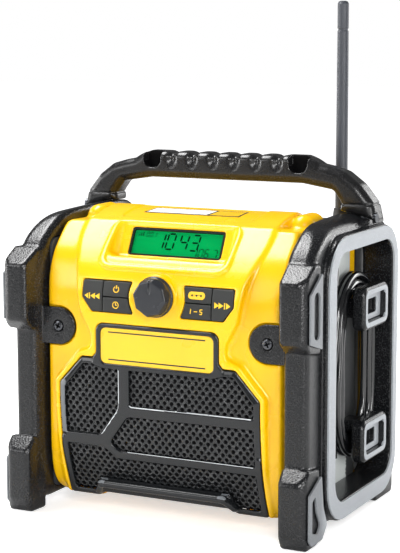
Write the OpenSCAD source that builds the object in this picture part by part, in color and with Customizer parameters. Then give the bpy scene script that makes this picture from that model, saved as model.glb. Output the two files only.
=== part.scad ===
// Jobsite radio in a roll cage, with a battery bay, a storage box and a mains lead on two cleats.
// Millimetres. +Z is up and the front faces -Y. The origin is on the floor under the middle.

/* [Cage] */
// Thickness of each cage frame, from the housing's side to its outer face
frame_t = 31.2; // [28:0.1:36]
// Overall depth from the front lugs to the rear feet
cage_d = 209; // [202:1:225]
// Height of the cage's top bar
cage_top = 258.5; // [254:0.5:272]
// Width of the flat ring round each side window
ring_w = 15.5; // [12:0.5:19]
// How far the lugs stand out in front of the cage's front bar
lug_reach = 12; // [8:0.5:15]
// Thickness of the pale inlays on the cage's outer faces
trim_t = 1.5; // [1:0.1:2.5]
// Height at which the screw tabs hold the housing
tab_z = 161.5; // [158:0.5:166]
// Radius of a screw tab's round end
tab_r = 16; // [13:0.5:18]

/* [Housing] */
// Width of the yellow housing
body_w = 220; // [212:1:224]
// Wall thickness of the housing mouldings
wall = 3; // [2.4:0.1:3.4]
// How far the badge face lies behind the lugs
face_back = 17; // [15:0.5:20]
// Depth of the rear cover
cover_d = 19; // [15:0.5:22]
// Height of the housing's underside
belly_z = 12; // [11:0.5:15]
// Half width of the console above the buttons
console_hw = 78; // [75:0.5:80]

/* [Display] */
// Lean of the display back from upright
display_tilt = 26.8; // [22:0.2:30]
// Width of the display window
window_w = 87; // [80:0.5:90]
// Height of the display window along its slope
window_h = 25; // [20:0.5:26]

/* [Controls] */
// Radius of the tuning knob's foot
knob_r = 17; // [14:0.25:19]
// How far the knob stands out
knob_h = 12; // [10:0.5:16]
// Radius of the encoder's shaft
shaft_r = 3; // [2.5:0.1:3.5]
// Height of the knob's axis
knob_z = 194; // [193:0.5:195]
// How far a key can be pressed
key_travel = 1; // [0.6:0.1:1.2]
// Gap between neighbouring keys
key_gap = 0.8; // [0.6:0.1:1.2]

/* [Grille] */
// Half width of the speaker grille
grille_hw = 93.5; // [90:0.5:94.5]
// Width of the grille's raised ribs
rib_w = 9.5; // [7:0.5:12]
// Distance between perforations along a row
hole_pitch = 7.2; // [6.4:0.1:9]
// Radius of a speaker's flange
speaker_r = 33; // [29:0.5:35]
// Distance of each speaker from the middle
speaker_x = 47; // [45:0.5:52]

/* [Badge] */
// Half width of the badge plate
badge_hw = 52.5; // [46:0.5:53.5]
// Thickness of the badge plate
badge_t = 1.6; // [1.2:0.1:1.8]

/* [Handle] */
// Height of the handle's top
handle_top = 304.5; // [300:0.5:315]
// Thickness of the grip from top to underside
grip_h = 26; // [24:0.5:30]
// Depth of the grip from front to back
grip_d = 26; // [22:0.5:30]
// Number of finger grooves
groove_count = 6; // [4:1:6]
// Distance between finger grooves
groove_pitch = 20.5; // [16:0.5:21]

/* [Antenna] */
// Length of the mast above its base
mast_h = 179; // [120:1:220]
// Radius of the mast
mast_r = 5.1; // [4:0.1:5.6]

/* [Storage door] */
// Depth of the door along the housing
door_w = 92; // [80:1:98]
// Height of the door
door_h = 112; // [100:1:116]
// Thickness of the door
door_t = 3.2; // [2.6:0.1:3.8]

/* [Battery bay] */
// Width of the bay
bay_w = 86; // [80:1:92]
// Height of the bay
bay_h = 126; // [118:1:132]
// Depth of the bay from the rear cover's face
bay_d = 60; // [50:1:64]

/* [Mains lead] */
// Diameter of the lead
cord_d = 6.4; // [6.4:0.1:6.4]

/* [Hidden] */
$fn = 48;

fit = 0.2;              // gap where one still piece sits in another
gap = 0.4;              // gap between pieces that move past each other
run = 0.05;             // radial clearance of a shaft in its bore
arc_step = 15;          // turn between two points of a rounded corner, in degrees
reach = 400;            // longer than any piece, for cuts that go right through

// Planes across the depth
y_front = -cage_d / 2;
y_rear = cage_d / 2;
y_bar = y_front + lug_reach;          // front bar of the cage
y_face = y_front + face_back;         // badge face
y_flank = y_face + 7.5;               // outer corner of the recessed flanks
y_cover = y_rear - 9.5;               // rear face of the rear cover
y_split = y_cover - cover_d;          // joint of housing and rear cover
y_ring = y_rear - 6.3;                // rear edge of the cage ring
ring_set = 51.1;                      // how much less deep the cage ring is than the cage
ring_d = cage_d - ring_set;           // depth of the cage ring

// Planes across the width
side_x = body_w / 2;                  // sides of the housing
frame_x = side_x + 0.3;               // inner faces of the cage frames
outer_x = frame_x + frame_t;          // outermost faces, on the inlays
seat_x = outer_x - trim_t;            // faces that the inlays lie on
bar_x = outer_x - 5;                  // outer face of the cage between ring and lugs
panel_t = 2.7;                        // thickness of the side panels
panel_x = frame_x + panel_t;          // outer faces of the side panels

// Heights
deck_z = cage_top - 14.5;             // rear deck under the handle
crown_z = cage_top + 1.5;             // highest line of the housing
ring_low = 8.4;                       // underside of the cage ring
ring_top = cage_top - 14;             // top edge of the cage ring's flat
grille_step = 3.8;                    // depth of the grille's seat below the console
baffle_y = y_face + 15;               // flat face that the speakers screw to
speaker_z = 82;                       // height of the speakers' axes

// ---------- helpers ----------

function unit(v) = v / norm(v);
function xy(p) = [p[0], p[1]];
function cross2(a, b) = a[0] * b[1] - a[1] * b[0];

// One corner as the points of an arc of radius r between the edges to p and s
function corner(p, q, s, r) =
    let (a = unit(p - q), b = unit(s - q), half = acos(max(-1, min(1, a * b))) / 2,
         room = 0.48 * min(norm(p - q), norm(s - q)), rr = min(r, room * tan(half)))
    rr < 0.05 || half > 88 ? [q] :
    let (d = rr / tan(half), mid = q + unit(a + b) * rr / sin(half),
         v0 = q + a * d - mid, v1 = q + b * d - mid, turn = 180 - 2 * half,
         n = max(1, ceil(turn / arc_step)))
    [for (k = [0:n]) mid + (v0 * sin(turn * (1 - k / n)) + v1 * sin(turn * k / n)) / sin(turn)];

// Outline from corners [x, y, radius]
function rounded(c) =
    let (n = len(c))
    [for (i = [0:n - 1])
        each corner(xy(c[(i + n - 1) % n]), xy(c[i]), xy(c[(i + 1) % n]),
                    len(c[i]) > 2 ? c[i][2] : 0)];

// Corners of a counter-clockwise outline moved inwards by d, outwards if d is negative
function inset(c, d) =
    let (n = len(c))
    [for (i = [0:n - 1])
        let (p = xy(c[(i + n - 1) % n]), q = xy(c[i]), s = xy(c[(i + 1) % n]),
             a = unit(q - p), b = unit(s - q), na = [-a[1], a[0]], nb = [-b[1], b[0]],
             m = (na + nb) / (1 + na * nb), r = len(c[i]) > 2 ? c[i][2] : 0,
             bend = cross2(a, b) > 0 ? -d : d)
        [q[0] + m[0] * d, q[1] + m[1] * d, r == 0 ? 0 : max(r + bend, 0.2)]];

// Right half of an outline, from the bottom up, completed by its mirror image
function mirrored(half) =
    concat(half, [for (i = [len(half) - 1:-1:0]) [-half[i][0], half[i][1], half[i][2]]]);

function box_corners(x0, y0, x1, y1, r = 0) = [[x0, y0, r], [x1, y0, r], [x1, y1, r], [x0, y1, r]];

module outline(c) { polygon(rounded(c)); }

// Extrusions: (Y, Z) outlines along X, (X, Z) outlines along Y, (X, Y) outlines along Z
module along_x(x0, x1) { translate([x0, 0, 0]) rotate([90, 0, 90]) linear_extrude(x1 - x0) children(); }
module along_y(y0, y1) { translate([0, y1, 0]) rotate([90, 0, 0]) linear_extrude(y1 - y0) children(); }
module along_z(z0, z1) { translate([0, 0, z0]) linear_extrude(z1 - z0) children(); }

// Cylinders from one end to the other
module rod_x(x0, x1, y, z, r) { translate([x0, y, z]) rotate([0, 90, 0]) cylinder(h = x1 - x0, r = r); }
module rod_y(y0, y1, x, z, r) { translate([x, y0, z]) rotate([-90, 0, 0]) cylinder(h = y1 - y0, r = r); }
module rod_z(z0, z1, x, y, r) { translate([x, y, z0]) cylinder(h = z1 - z0, r = r); }
module block(lo, hi) { translate(lo) cube(hi - lo); }

module both_sides() {
    children();
    mirror([1, 0, 0]) children();
}

module at_sides(flip) {
    if (flip) mirror([1, 0, 0]) children();
    else children();
}

// ---------- forms of the housing ----------

// Side view of the recessed flanks
function flank_side() = [
    [y_split + 20, belly_z], [y_split + 20, deck_z], [y_split - 4, deck_z, 20],
    [y_face + 92, deck_z + 3, 40],
    [y_face + 43, deck_z + 4, 22], [y_face + 18, deck_z - 20, 34], [y_flank, deck_z - 49, 40],
    [y_flank - 1, 62, 70], [y_flank + 7, 26, 28], [y_flank + 21, belly_z, 12]
];

// Side view of the raised console, with the grille on its lower part
function console_side() = [
    [y_face + 150, belly_z + 2], [y_face + 150, deck_z + 1], [y_face + 113, deck_z + 1, 12],
    [y_face + 101, crown_z - 1.5, 12], [y_face + 89, crown_z - 0.6, 30], [y_face + 64, crown_z - 4.6, 30],
    [y_face + 43.5, crown_z - 10.5, 7], [y_face + 9.5, crown_z - 44, 12],
    [y_face, crown_z - 62, 26], [y_face, 95, 70], [y_face + 4.5, 55, 50],
    [y_face + 19, belly_z + 2, 6]
];

// Front view of the raised console: wide round the grille, a waist between the screw tabs
function console_front() = mirrored([
    [grille_hw + 4, belly_z - 8, 0], [grille_hw + 4, 117, 6], [grille_hw - 18, 142, 6],
    [62, 147, 8], [62.5, 158, 12], [console_hw - 5, 177, 24], [console_hw, 206, 40],
    [console_hw + 9.5, 238, 30], [console_hw + 9.5, crown_z + 6, 0]
]);

// Plan view of the flanks
function flank_plan() = [
    [-side_x, y_flank, 9], [-console_hw + 2, y_flank - 3.5, 12], [console_hw - 2, y_flank - 3.5, 12],
    [side_x, y_flank, 9], [side_x, reach], [-side_x, reach]
];

// Front view of the flanks, which rounds the long top and bottom edges
function flank_front() = box_corners(-side_x, belly_z, side_x, deck_z + 8, 12);

bump_r = 10.5;
bump_x = side_x - 13;
bump_y = y_face + 88;
bump_z = deck_z + 3.5;

module top_bump(shrink) {
    for (y = [bump_y - 9, bump_y + 9]) translate([bump_x, y, bump_z]) sphere(bump_r - shrink, $fn = 24);
    rod_y(bump_y - 9, bump_y + 9, bump_x, bump_z, bump_r - shrink);
}

module console_slab(d) { along_x(-reach / 2, reach / 2) outline(inset(console_side(), d)); }

// The whole outside of the housing, or the space inside walls of thickness d
module body_form(d) {
    intersection() {
        along_x(-side_x + d, side_x - d) outline(inset(flank_side(), d));
        along_y(-reach / 2, reach / 2) outline(inset(flank_front(), d));
        along_z(0, reach) outline(inset(flank_plan(), d));
    }
    intersection() {
        console_slab(d);
        along_y(y_face - 1, y_face + 120) outline(inset(console_front(), d));
    }
}

// ---------- display ----------

display_y = y_face + 36.4;
display_z = crown_z - 26;
lens_back = 1;          // how far the lens lies below the pocket's face
lens_t = 1.4;
lcd_t = 4;
board_t = 1.6;

// Local frame of the display: x right, y up the slope, z out of the face
module on_display() { translate([0, display_y, display_z]) rotate([90 - display_tilt, 0, 0]) children(); }

function display_point(up, out) = [
    display_y + up * sin(display_tilt) - out * cos(display_tilt),
    display_z + up * cos(display_tilt) + out * sin(display_tilt)
];

pocket_hw = window_w / 2 + 12;        // half width of the pocket in front of the display
pocket_low = window_h / 2 + 1.7;      // from the display's middle down to the pocket's floor

module pocket_form(grow) {
    along_x(-pocket_hw - grow, pocket_hw + grow) polygon([
        display_point(-pocket_low - grow, -grow), display_point(16.5 + grow, -grow),
        display_point(22, 40), display_point(-pocket_low - 16 - grow, 42),
        display_point(-pocket_low - 8 - grow, 20)
    ]);
}

// Raised rim round the pocket
module pocket_rim() {
    translate([0, y_face + 26.5, crown_z - 27.25]) rotate([45, 0, 0]) translate([0, 0, -4])
        linear_extrude(5.4) difference() {
            outline(box_corners(-pocket_hw - 5, -26.5, pocket_hw + 5, 25, 12));
            outline(box_corners(-pocket_hw, -22, pocket_hw, 27, 8));
        }
}

function window_front() = box_corners(-window_w / 2, -window_h / 2, window_w / 2, window_h / 2, 2);

module display_lens() color([0.05, 0.55, 0.3, 0.6])
    on_display() translate([0, 0, -lens_back - lens_t]) linear_extrude(lens_t)
        outline(inset(window_front(), fit));

module lcd_module() color("mediumseagreen")
    on_display() translate([0, 0, -wall - lcd_t]) linear_extrude(lcd_t)
        outline(box_corners(-window_w / 2 - 3, -window_h / 2 - 3, window_w / 2 + 3, window_h / 2 + 3, 1));

module display_board() color("darkgreen")
    on_display() translate([0, 0, -wall - lcd_t - board_t]) linear_extrude(board_t)
        outline(box_corners(-window_w / 2 - 6, -window_h / 2 - 3, window_w / 2 + 6, window_h / 2 + 3, 1));

// ---------- keys and knob ----------

keys_low = knob_z - 16;
keys_top = knob_z + 9.5;
keys_mid = knob_z - 3.2;
keys_in = 22.6;          // inner edge of each block of keys
keys_out = 69.4;         // outer edge
keys_split = 50.3;       // between the tall outer key and the two inner ones
key_t = 6;
key_proud = 0.4;
board_y = y_face + 13;   // front face of the key board
switch_h = 3.4;
stem_end = board_y - switch_h - key_travel - 0.3;

// Front view of the right block, grown by g
module key_block(g) {
    difference() {
        outline([[keys_in - g, keys_low - g, 1], [keys_out - 9 + g, keys_low - g, 1.5],
                 [keys_out + g, keys_low + 11.5, 2], [keys_out + g, keys_top + g, 1.5],
                 [keys_in + 1.8 - g, keys_top + g, 1]]);
        translate([0, knob_z - 1]) circle(keys_in + 3.8 - g, $fn = 72);
    }
}

module key(lo, hi, flip) {
    color("dimgray") at_sides(flip) {
        intersection() {
            along_y(y_face - 4, y_face + 14) intersection() {
                key_block(0);
                outline(box_corners(lo[0], lo[1], hi[0], hi[1], 0.6));
            }
            difference() {
                console_slab(-key_proud);
                console_slab(key_t);
            }
        }
        stem_z = (max(lo[1], keys_low) + min(hi[1], keys_top)) / 2;
        rod_y(y_face + key_t - 1, stem_end, max(lo[0], 32) + 6, stem_z, 2);
    }
}

half_gap = key_gap / 2;
module skip_back_key() key([keys_split + half_gap, 0], [reach, reach], true);
module power_key() key([0, keys_mid + half_gap], [keys_split - half_gap, reach], true);
module clock_key() key([0, 0], [keys_split - half_gap, keys_mid - half_gap], true);
module mode_key() key([0, keys_mid + half_gap], [keys_split - half_gap, reach], false);
module preset_key() key([0, 0], [keys_split - half_gap, keys_mid - half_gap], false);
module skip_forward_key() key([keys_split + half_gap, 0], [reach, reach], false);

// Places of the keys' stems and switches: [x, z]
key_spots = [
    [keys_split + half_gap + 6, (keys_low + keys_top) / 2],
    [38, (keys_mid + half_gap + keys_top) / 2],
    [38, (keys_low + keys_mid - half_gap) / 2]
];

module tactile_switches() color("black")
    both_sides() for (s = key_spots) {
        block([s[0] - 3, board_y - switch_h + 1, s[1] - 3], [s[0] + 3, board_y, s[1] + 3]);
        rod_y(board_y - switch_h, board_y - switch_h + 1, s[0], s[1], 1.7);
    }

module key_board() color("darkgreen")
    difference() {
        along_y(board_y, board_y + board_t) outline(box_corners(-66, keys_low - 6, 66, keys_top + 3, 2));
        rod_y(board_y - 1, board_y + 3, 0, knob_z, shaft_r + 1);
    }

encoder_t = 6.5;
module rotary_encoder() color("silver")
    difference() {
        union() {
            block([-6, board_y - encoder_t, knob_z - 6], [6, board_y, knob_z + 6]);
            rod_y(board_y - encoder_t - 4, board_y - encoder_t, 0, knob_z, shaft_r + 1.6);
        }
        rod_y(board_y - encoder_t - 5, board_y - 1, 0, knob_z, shaft_r + run);
    }

knob_lift = 0.7;         // gap under the knob
shaft_in = board_y - 2;  // inner end of the shaft

module encoder_shaft() color("silver")
    rod_y(y_face - knob_h + 4, shaft_in, 0, knob_z, shaft_r);

module tuning_knob() color([0.25, 0.26, 0.28])
    difference() {
        translate([0, y_face - knob_lift, knob_z]) rotate([90, 0, 0]) {
            cylinder(h = 2.6, r = knob_r);
            intersection() {
                rotate([0, 0, 35])
                    cylinder(h = knob_h - knob_lift, r1 = knob_r + 2.4, r2 = knob_r * 0.66, $fn = 8);
                cylinder(h = knob_h, r = knob_r - 0.9);
            }
        }
        rod_y(y_face - knob_h + 4 - fit, y_face + 1, 0, knob_z, shaft_r + 0.02);
    }

// ---------- grille and badge ----------

badge_low = 134.5;
badge_top = 165;
bezel_w = 4.5;
bezel_hw = badge_hw + bezel_w;
badge_step = 1;          // how far the badge plate stands behind the bezel's face
grille_low = belly_z + 2;
lip_hw = grille_hw - 32.5;            // half width of the lip below the field
frame_out = 0.8;         // how far the grille's ribs stand proud of the console
frame_in = 2.4;          // depth of the ribs below the console's face
mesh_t = 1.2;

// Front view of the grille with the bezel on top, counter-clockwise
function grille_front() = mirrored([
    [grille_hw, grille_low, 3], [grille_hw, 115, 4], [grille_hw - 22, 139, 4], [bezel_hw + 3.5, 139, 3],
    [bezel_hw, 143, 3], [bezel_hw, badge_top + bezel_w - 1, 7]
]);

// Field of perforations inside the rim, reaching down on both sides of the lip
function field_front() = mirrored([
    [lip_hw, grille_low + 18.5, 2], [lip_hw + 6, grille_low + 6, 3], [grille_hw - 6, grille_low + 6, 3],
    [grille_hw - 6, 112, 3], [grille_hw - 24, 133, 4],
    [bezel_hw + 4, 133, 4], [bezel_hw - 6, badge_low - bezel_w, 4]
]);

// A bar of the given width along a line of points
module bar(points, w) {
    for (i = [0:len(points) - 2])
        let (a = points[i], b = points[i + 1], d = unit(b - a) * w / 2, s = [-d[1], d[0]])
            polygon([a - d * 0.4 + s, a - d * 0.4 - s, b + d * 0.4 - s, b + d * 0.4 + s]);
}

rib_x = -31;             // middle of the upright rib
rib_joint = [rib_x, 95];
rib_foot = [-52, 67];
module ribs() {
    bar([[rib_x, badge_low], rib_joint, rib_foot, [-grille_hw + 3, 67]], rib_w + 1);
    bar([rib_joint, [grille_hw - 3, 96]], rib_w);
    bar([rib_foot, [-40, 56], [grille_hw - 3, 56]], rib_w - 2);
}

module console_band(out, in) {
    difference() {
        console_slab(-out);
        console_slab(in);
    }
}

module speaker_grille() color([0.22, 0.24, 0.26])
    difference() {
        intersection() {
            along_y(y_face - 5, y_face + 40) difference() {
                outline(inset(grille_front(), fit));
                difference() {
                    outline(field_front());
                    ribs();
                }
            }
            console_band(frame_out, frame_in);
        }
        along_y(y_face - 5, y_face - frame_out + badge_step + badge_t)
            outline(box_corners(-badge_hw, badge_low, badge_hw, badge_top, 5));
    }

// Perforated plate behind the ribs: round holes in staggered rows
hole_r = hole_pitch * 0.34;
row_pitch = hole_pitch * 0.84;
module holes() {
    rows = floor((133 - grille_low - 10) / row_pitch);
    columns = floor((grille_hw - 9) / hole_pitch);
    for (j = [0:rows]) for (i = [-columns:columns - (j % 2)])
        translate([(i + (j % 2) / 2) * hole_pitch, grille_low + 10 + j * row_pitch])
            circle(hole_r, $fn = 6);
}

module grille_mesh() color([0.15, 0.16, 0.17])
    intersection() {
        along_y(y_face - 2, y_face + 40) difference() {
            outline(inset(mirrored([for (i = [0:2]) grille_front()[i]]), 1));
            intersection() {
                holes();
                outline(inset(field_front(), 1));
            }
        }
        console_band(-frame_in, frame_in + mesh_t);
    }

module badge_plate() color("gold")
    along_y(y_face - frame_out + badge_step, y_face - frame_out + badge_step + badge_t)
        outline(box_corners(-badge_hw + fit, badge_low + fit, badge_hw - fit, badge_top - fit, 5));

label_t = 0.5;
module top_label() color("lightgray")
    intersection() {
        console_band(-1.6 + label_t, 1.6);
        block([-46, y_face + 67, crown_z - 20], [44, y_face + 83, reach]);
    }

// ---------- front housing ----------

boss_r = 3.2;
board_bosses = [[17, keys_low - 1], [62.5, keys_low - 2.5]];
post_z = belly_z + wall + 9;          // top of the posts under the main board
board_lo = [-66, y_face + 58];
board_hi = [18, y_face + 134];

module board_posts() {
    for (x = [board_lo[0] + 5, board_hi[0] - 5]) for (y = [board_lo[1] + 5, board_hi[1] - 5])
        rod_z(belly_z + 1, post_z, x, y, 3.5);
}

// Seat of the tab: a recess in the flank with a boss behind it
module tab_outline(g) {
    outline(box_corners(tab_x, tab_z - tab_r - g, side_x + 6, tab_z + tab_r + g));
    translate([tab_x, tab_z]) circle(tab_r + g);
}
tab_x = side_x - 13;
tab_face = y_face + 6;
tab_t = 4;

module front_housing() color("gold")
    difference() {
        union() {
            difference() {
                body_form(0);
                body_form(wall);
            }
            both_sides() top_bump(0);
            // wall behind the grille's seat
            intersection() {
                difference() {
                    console_slab(0.5);
                    console_slab(grille_step + wall);
                }
                along_y(y_face - 1, y_face + 60) outline(inset(grille_front(), -wall));
            }
            // wall round the display pocket
            intersection() {
                pocket_form(wall);
                body_form(0);
            }
            intersection() {
                body_form(0.5);
                union() {
                    both_sides() rod_y(y_face + 2, baffle_y, speaker_x, speaker_z, speaker_r + 2);
                    both_sides() along_y(y_face + 5, tab_face + tab_t + fit + wall) tab_outline(wall);
                    both_sides() for (b = board_bosses) rod_y(y_face + 1, board_y, b[0], b[1], boss_r);
                    both_sides() for (s = cover_screw_spots) rod_y(y_split - 12, y_split, s[0], s[1], 5);
                    board_posts();
                }
            }
            pocket_rim();
            // flat seat round the knob
            rod_y(y_face, y_face + 9, 0, knob_z, knob_r + 1);
        }
        // shallow field for the label
        intersection() {
            console_band(5, 1.6);
            block([-58, y_face + 56, crown_z - 30], [58, y_face + 96, reach]);
        }
        // joint with the rear cover
        block([-reach, y_split, -1], [reach, y_split + reach, reach]);
        // seat of the grille
        intersection() {
            along_y(y_face - 5, y_face + 60) outline(grille_front());
            console_band(10, grille_step);
        }
        // speakers
        both_sides() rod_y(y_face - 5, baffle_y + 1, speaker_x, speaker_z, speaker_r - 6);
        // display pocket and window
        pocket_form(0);
        on_display() translate([0, 0, -10]) linear_extrude(20)
            outline(window_front());
        rod_y(y_face + 2.4, y_face + 12, 0, knob_z, knob_r - 1.6);
        // keys and shaft
        both_sides() along_y(y_face - 5, y_face + 12) key_block(0.5);
        rod_y(y_face - 5, y_face + 12, 0, knob_z, shaft_r + 1.5);
        // seats of the tabs and their screws
        both_sides() along_y(y_face - 5, tab_face + tab_t + fit) tab_outline(0.5);
        both_sides() rod_y(tab_face, tab_face + tab_t + wall + 1, tab_x, tab_z, 1.6);
        both_sides() for (s = cover_screw_spots) rod_y(y_split - 9, y_split + 1, s[0], s[1], 1.65);
        // opening for the storage box
        block([-side_x - 1, store_y0 - fit, store_z0 - fit],
              [-side_x + wall + 2, store_y1 + fit, store_z1 + fit]);
    }

module housing_seal() color("black")
    along_y(y_split, y_split + seal_t) difference() {
        outline(inset(inset(flank_front_deck(), 0.6), 0));
        outline(inset(flank_front_deck(), wall - 0.4));
    }
seal_t = 0.8;

// Front view of the joint between housing and rear cover
function flank_front_deck() = [
    [-side_x, belly_z, 12], [side_x, belly_z, 12], [side_x, deck_z, 8], [-side_x, deck_z, 8]
];

// ---------- rear cover, battery bay, sockets ----------

bay_z0 = 56;
bay_wall = 2.4;
bay_y = y_cover - bay_d;              // inner face of the bay
cover_screw_spots = [[side_x - 7.5, belly_z + 12], [side_x - 7.5, deck_z - 34]];
aux_x = 32 - side_x;
aux_z = 46;
aux_r = 1.75;

module cover_form(d) {
    intersection() {
        along_y(y_split + seal_t - d, y_cover - d) outline(inset(flank_front_deck(), d));
        along_x(-reach, reach) outline([[y_split - 20, belly_z + d], [y_cover - d, belly_z + d, 9],
                                        [y_cover - d, deck_z - d, 3], [y_split - 20, deck_z - d]]);
    }
}

module rear_cover() color([0.16, 0.16, 0.17])
    difference() {
        union() {
            difference() {
                cover_form(0);
                translate([0, -wall, 0]) cover_form(wall);
            }
            both_sides() for (s = cover_screw_spots)
                rod_y(y_split + seal_t, y_cover - 2, s[0], s[1], 5);
            rod_z(deck_z - 14, deck_z, mast_x, mast_y, antenna_r - 0.1);
            rod_y(y_cover - 12, y_cover - 1, aux_x, aux_z, 7);
        }
        // battery bay
        block([-bay_w / 2 - bay_wall - fit, y_split - 1, bay_z0 - bay_wall - fit],
              [bay_w / 2 + bay_wall + fit, y_cover + 1, bay_z0 + bay_h + bay_wall + fit]);
        both_sides() for (s = cover_screw_spots) {
            rod_y(y_split - 1, y_cover + 1, s[0], s[1], 1.8);
            rod_y(y_cover - 4, y_cover + 1, s[0], s[1], 3.6);
        }
        rod_z(deck_z - 11, deck_z + 1, mast_x, mast_y, stud_r + 1.5);
        rod_y(y_cover - 13, y_cover + 1, aux_x, aux_z, 4);
    }

module screw_y(y0, y1, x, z, head_r, r) {
    difference() {
        union() {
            rod_y(y0, y1, x, z, r);
            rod_y(min(y0, y1), min(y0, y1) + 2.4, x, z, head_r);
        }
        rod_y(min(y0, y1) - 1, min(y0, y1) + 1.4, x, z, head_r * 0.42, $fn = 6);
    }
}

module cover_screws() color("silver")
    both_sides() for (s = cover_screw_spots)
        mirror([0, 1, 0]) screw_y(1.6 - y_cover, 8 - y_split, s[0], s[1], 3.2, 1.6);

rail_y = bay_y + 12;
rail_t = 4;
module battery_bay() color([0.14, 0.14, 0.15])
    difference() {
        union() {
            difference() {
                block([-bay_w / 2 - bay_wall, bay_y - bay_wall, bay_z0 - bay_wall],
                      [bay_w / 2 + bay_wall, y_cover, bay_z0 + bay_h + bay_wall]);
                block([-bay_w / 2, bay_y, bay_z0], [bay_w / 2, y_cover + 1, bay_z0 + bay_h]);
            }
            // slide rails of the pack
            both_sides()
                block([bay_w / 2 - 6, rail_y, bay_z0 + 24],
                      [bay_w / 2, rail_y + rail_t, bay_z0 + bay_h - 8]);
        }
        // seat of the terminal block
        block([-16, bay_y - bay_wall - 1, bay_z0 + bay_h - 40], [16, bay_y + 1, bay_z0 + bay_h - 18]);
    }

module battery_terminals() color("black")
    translate([0, bay_y, bay_z0 + bay_h]) difference() {
        block([-16 + fit, -bay_wall, -40 + fit], [16 - fit, 5, -18 - fit]);
        for (x = [-12:6:12]) block([x - 0.6, 1, -41], [x + 0.6, 6, -22]);
    }

module aux_socket() color("silver")
    difference() {
        union() {
            rod_y(y_cover - 12, y_cover, aux_x, aux_z, 4 - fit);
            block([aux_x - 5, y_cover - 17, aux_z - 4], [aux_x + 5, y_cover - 12, aux_z + 4]);
        }
        rod_y(y_cover - 14, y_cover + 1, aux_x, aux_z, aux_r);
    }

// ---------- cage frames ----------

window_lo = [y_ring - ring_d + ring_w, ring_low + ring_w - 0.2];
window_hi = [y_ring - ring_w + 5.5, ring_top - ring_w + 2.5];

window_d = window_hi[0] - window_lo[0];

function window_side() = box_corners(window_lo[0], window_lo[1], window_hi[0], window_hi[1], 20);

// Side view of a frame without its lugs
function frame_side() = [
    [y_bar, ring_low + 4, 8], [y_bar + 22, ring_low, 14], [y_ring, ring_low, 22],
    [y_ring, cage_top - 4, 36],
    [y_bar + 118, cage_top, 60], [y_bar + 48, cage_top - 3.5, 30], [y_bar + 14, cage_top - 25, 26],
    [y_bar, cage_top - 52, 20]
];

// Front view of a frame: the upper and lower outer edges are chamfered
function frame_front() = [
    [frame_x, 0], [bar_x - 3, 0], [bar_x, 6], [bar_x, cage_top - 12, 4],
    [bar_x - 9.5, cage_top + 0.2, 6], [frame_x, cage_top + 0.2]
];

// Plan of a frame: the front bar stands clear of the housing's flank
function frame_plan() = [
    [frame_x, y_flank + 6], [frame_x + 1.2, y_flank - 1, 2], [frame_x + 7, y_bar, 3], [bar_x - 3, y_bar, 5],
    [bar_x, y_bar + 9, 6], [bar_x, y_rear + 1], [frame_x, y_rear + 1]
];

// Side view of the flat ring on the frame's outside
function ring_side(grow = 0) = inset([
    [y_ring - ring_d, ring_low, 34], [y_ring, ring_low, 34],
    [y_ring, ring_top, 34], [y_ring - ring_d, ring_top, 38]
], -grow);

function lug_plan() = [
    [frame_x + 3.4, y_bar + 14], [frame_x + 5.4, y_front + 4, 3], [frame_x + 8, y_front, 3],
    [seat_x - 6.5, y_front, 4], [seat_x, y_front + 7.5, 3], [seat_x, y_front + 32, 2],
    [bar_x - 1, y_front + 37]
];
function upper_lug_side() = [
    [y_front, 168, 3], [y_bar, 158.5, 2], [y_bar + 30, 154], [y_bar + 30, cage_top - 32],
    [y_bar + 10, cage_top - 31, 6], [y_front, cage_top - 44, 4]
];
function front_foot_side() = [
    [y_front, 13, 6], [y_front + 8, 0, 3], [y_front + 29, 0, 10],
    [y_front + 50, ring_low + 0.5], [y_front + 50, 30],
    [y_bar + 24, 62], [y_bar, 65, 2], [y_front, 54, 3]
];
function rear_foot_side() = [
    [y_ring - 40, ring_low, 0], [y_ring - 34, 0, 4], [y_rear - 2, 0, 4], [y_rear, 5, 3],
    [y_rear, 44, 3], [y_ring, 54, 2], [y_ring - 40, 54]
];

module side_window() { along_x(0, reach) outline(window_side()); }

// The frame without ring, lugs and window, grown by g
module frame_block(g) {
    intersection() {
        along_x(frame_x - g, bar_x + g) outline(inset(frame_side(), -g));
        along_y(y_front - 1, y_rear + 1) outline(inset(frame_front(), -g));
        along_z(-1, cage_top + 1 + g) outline(inset(frame_plan(), -g));
    }
}

module side_frame() {
    difference() {
        union() {
            frame_block(0);
            along_x(bar_x - 2, seat_x) outline(ring_side());
            intersection() {
                along_x(frame_x, seat_x) union() {
                    outline(upper_lug_side());
                    outline(front_foot_side());
                }
                along_z(-1, cage_top) outline(lug_plan());
            }
            along_x(frame_x + 4, bar_x) outline(rear_foot_side());
            along_y(tab_face, tab_face + tab_t) intersection() {
                tab_outline(0);
                outline(box_corners(0, 0, side_x + 5, reach));
            }
        }
        side_window();
        along_x(frame_x - 1, panel_x + 0.1) outline(inset(panel_side(), -fit));
        rod_y(tab_face - 1, tab_face + 1.6, tab_x, tab_z, 5);
        rod_y(tab_face - 1, tab_face + tab_t + 1, tab_x, tab_z, 1.8);
        rod_x(seat_x - 26, outer_x, handle_screw_y, handle_screw_z, 2);
    }
}
module right_side_frame() color([0.2, 0.2, 0.21]) side_frame();
module left_side_frame() color([0.2, 0.2, 0.21]) mirror([1, 0, 0]) side_frame();

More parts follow.
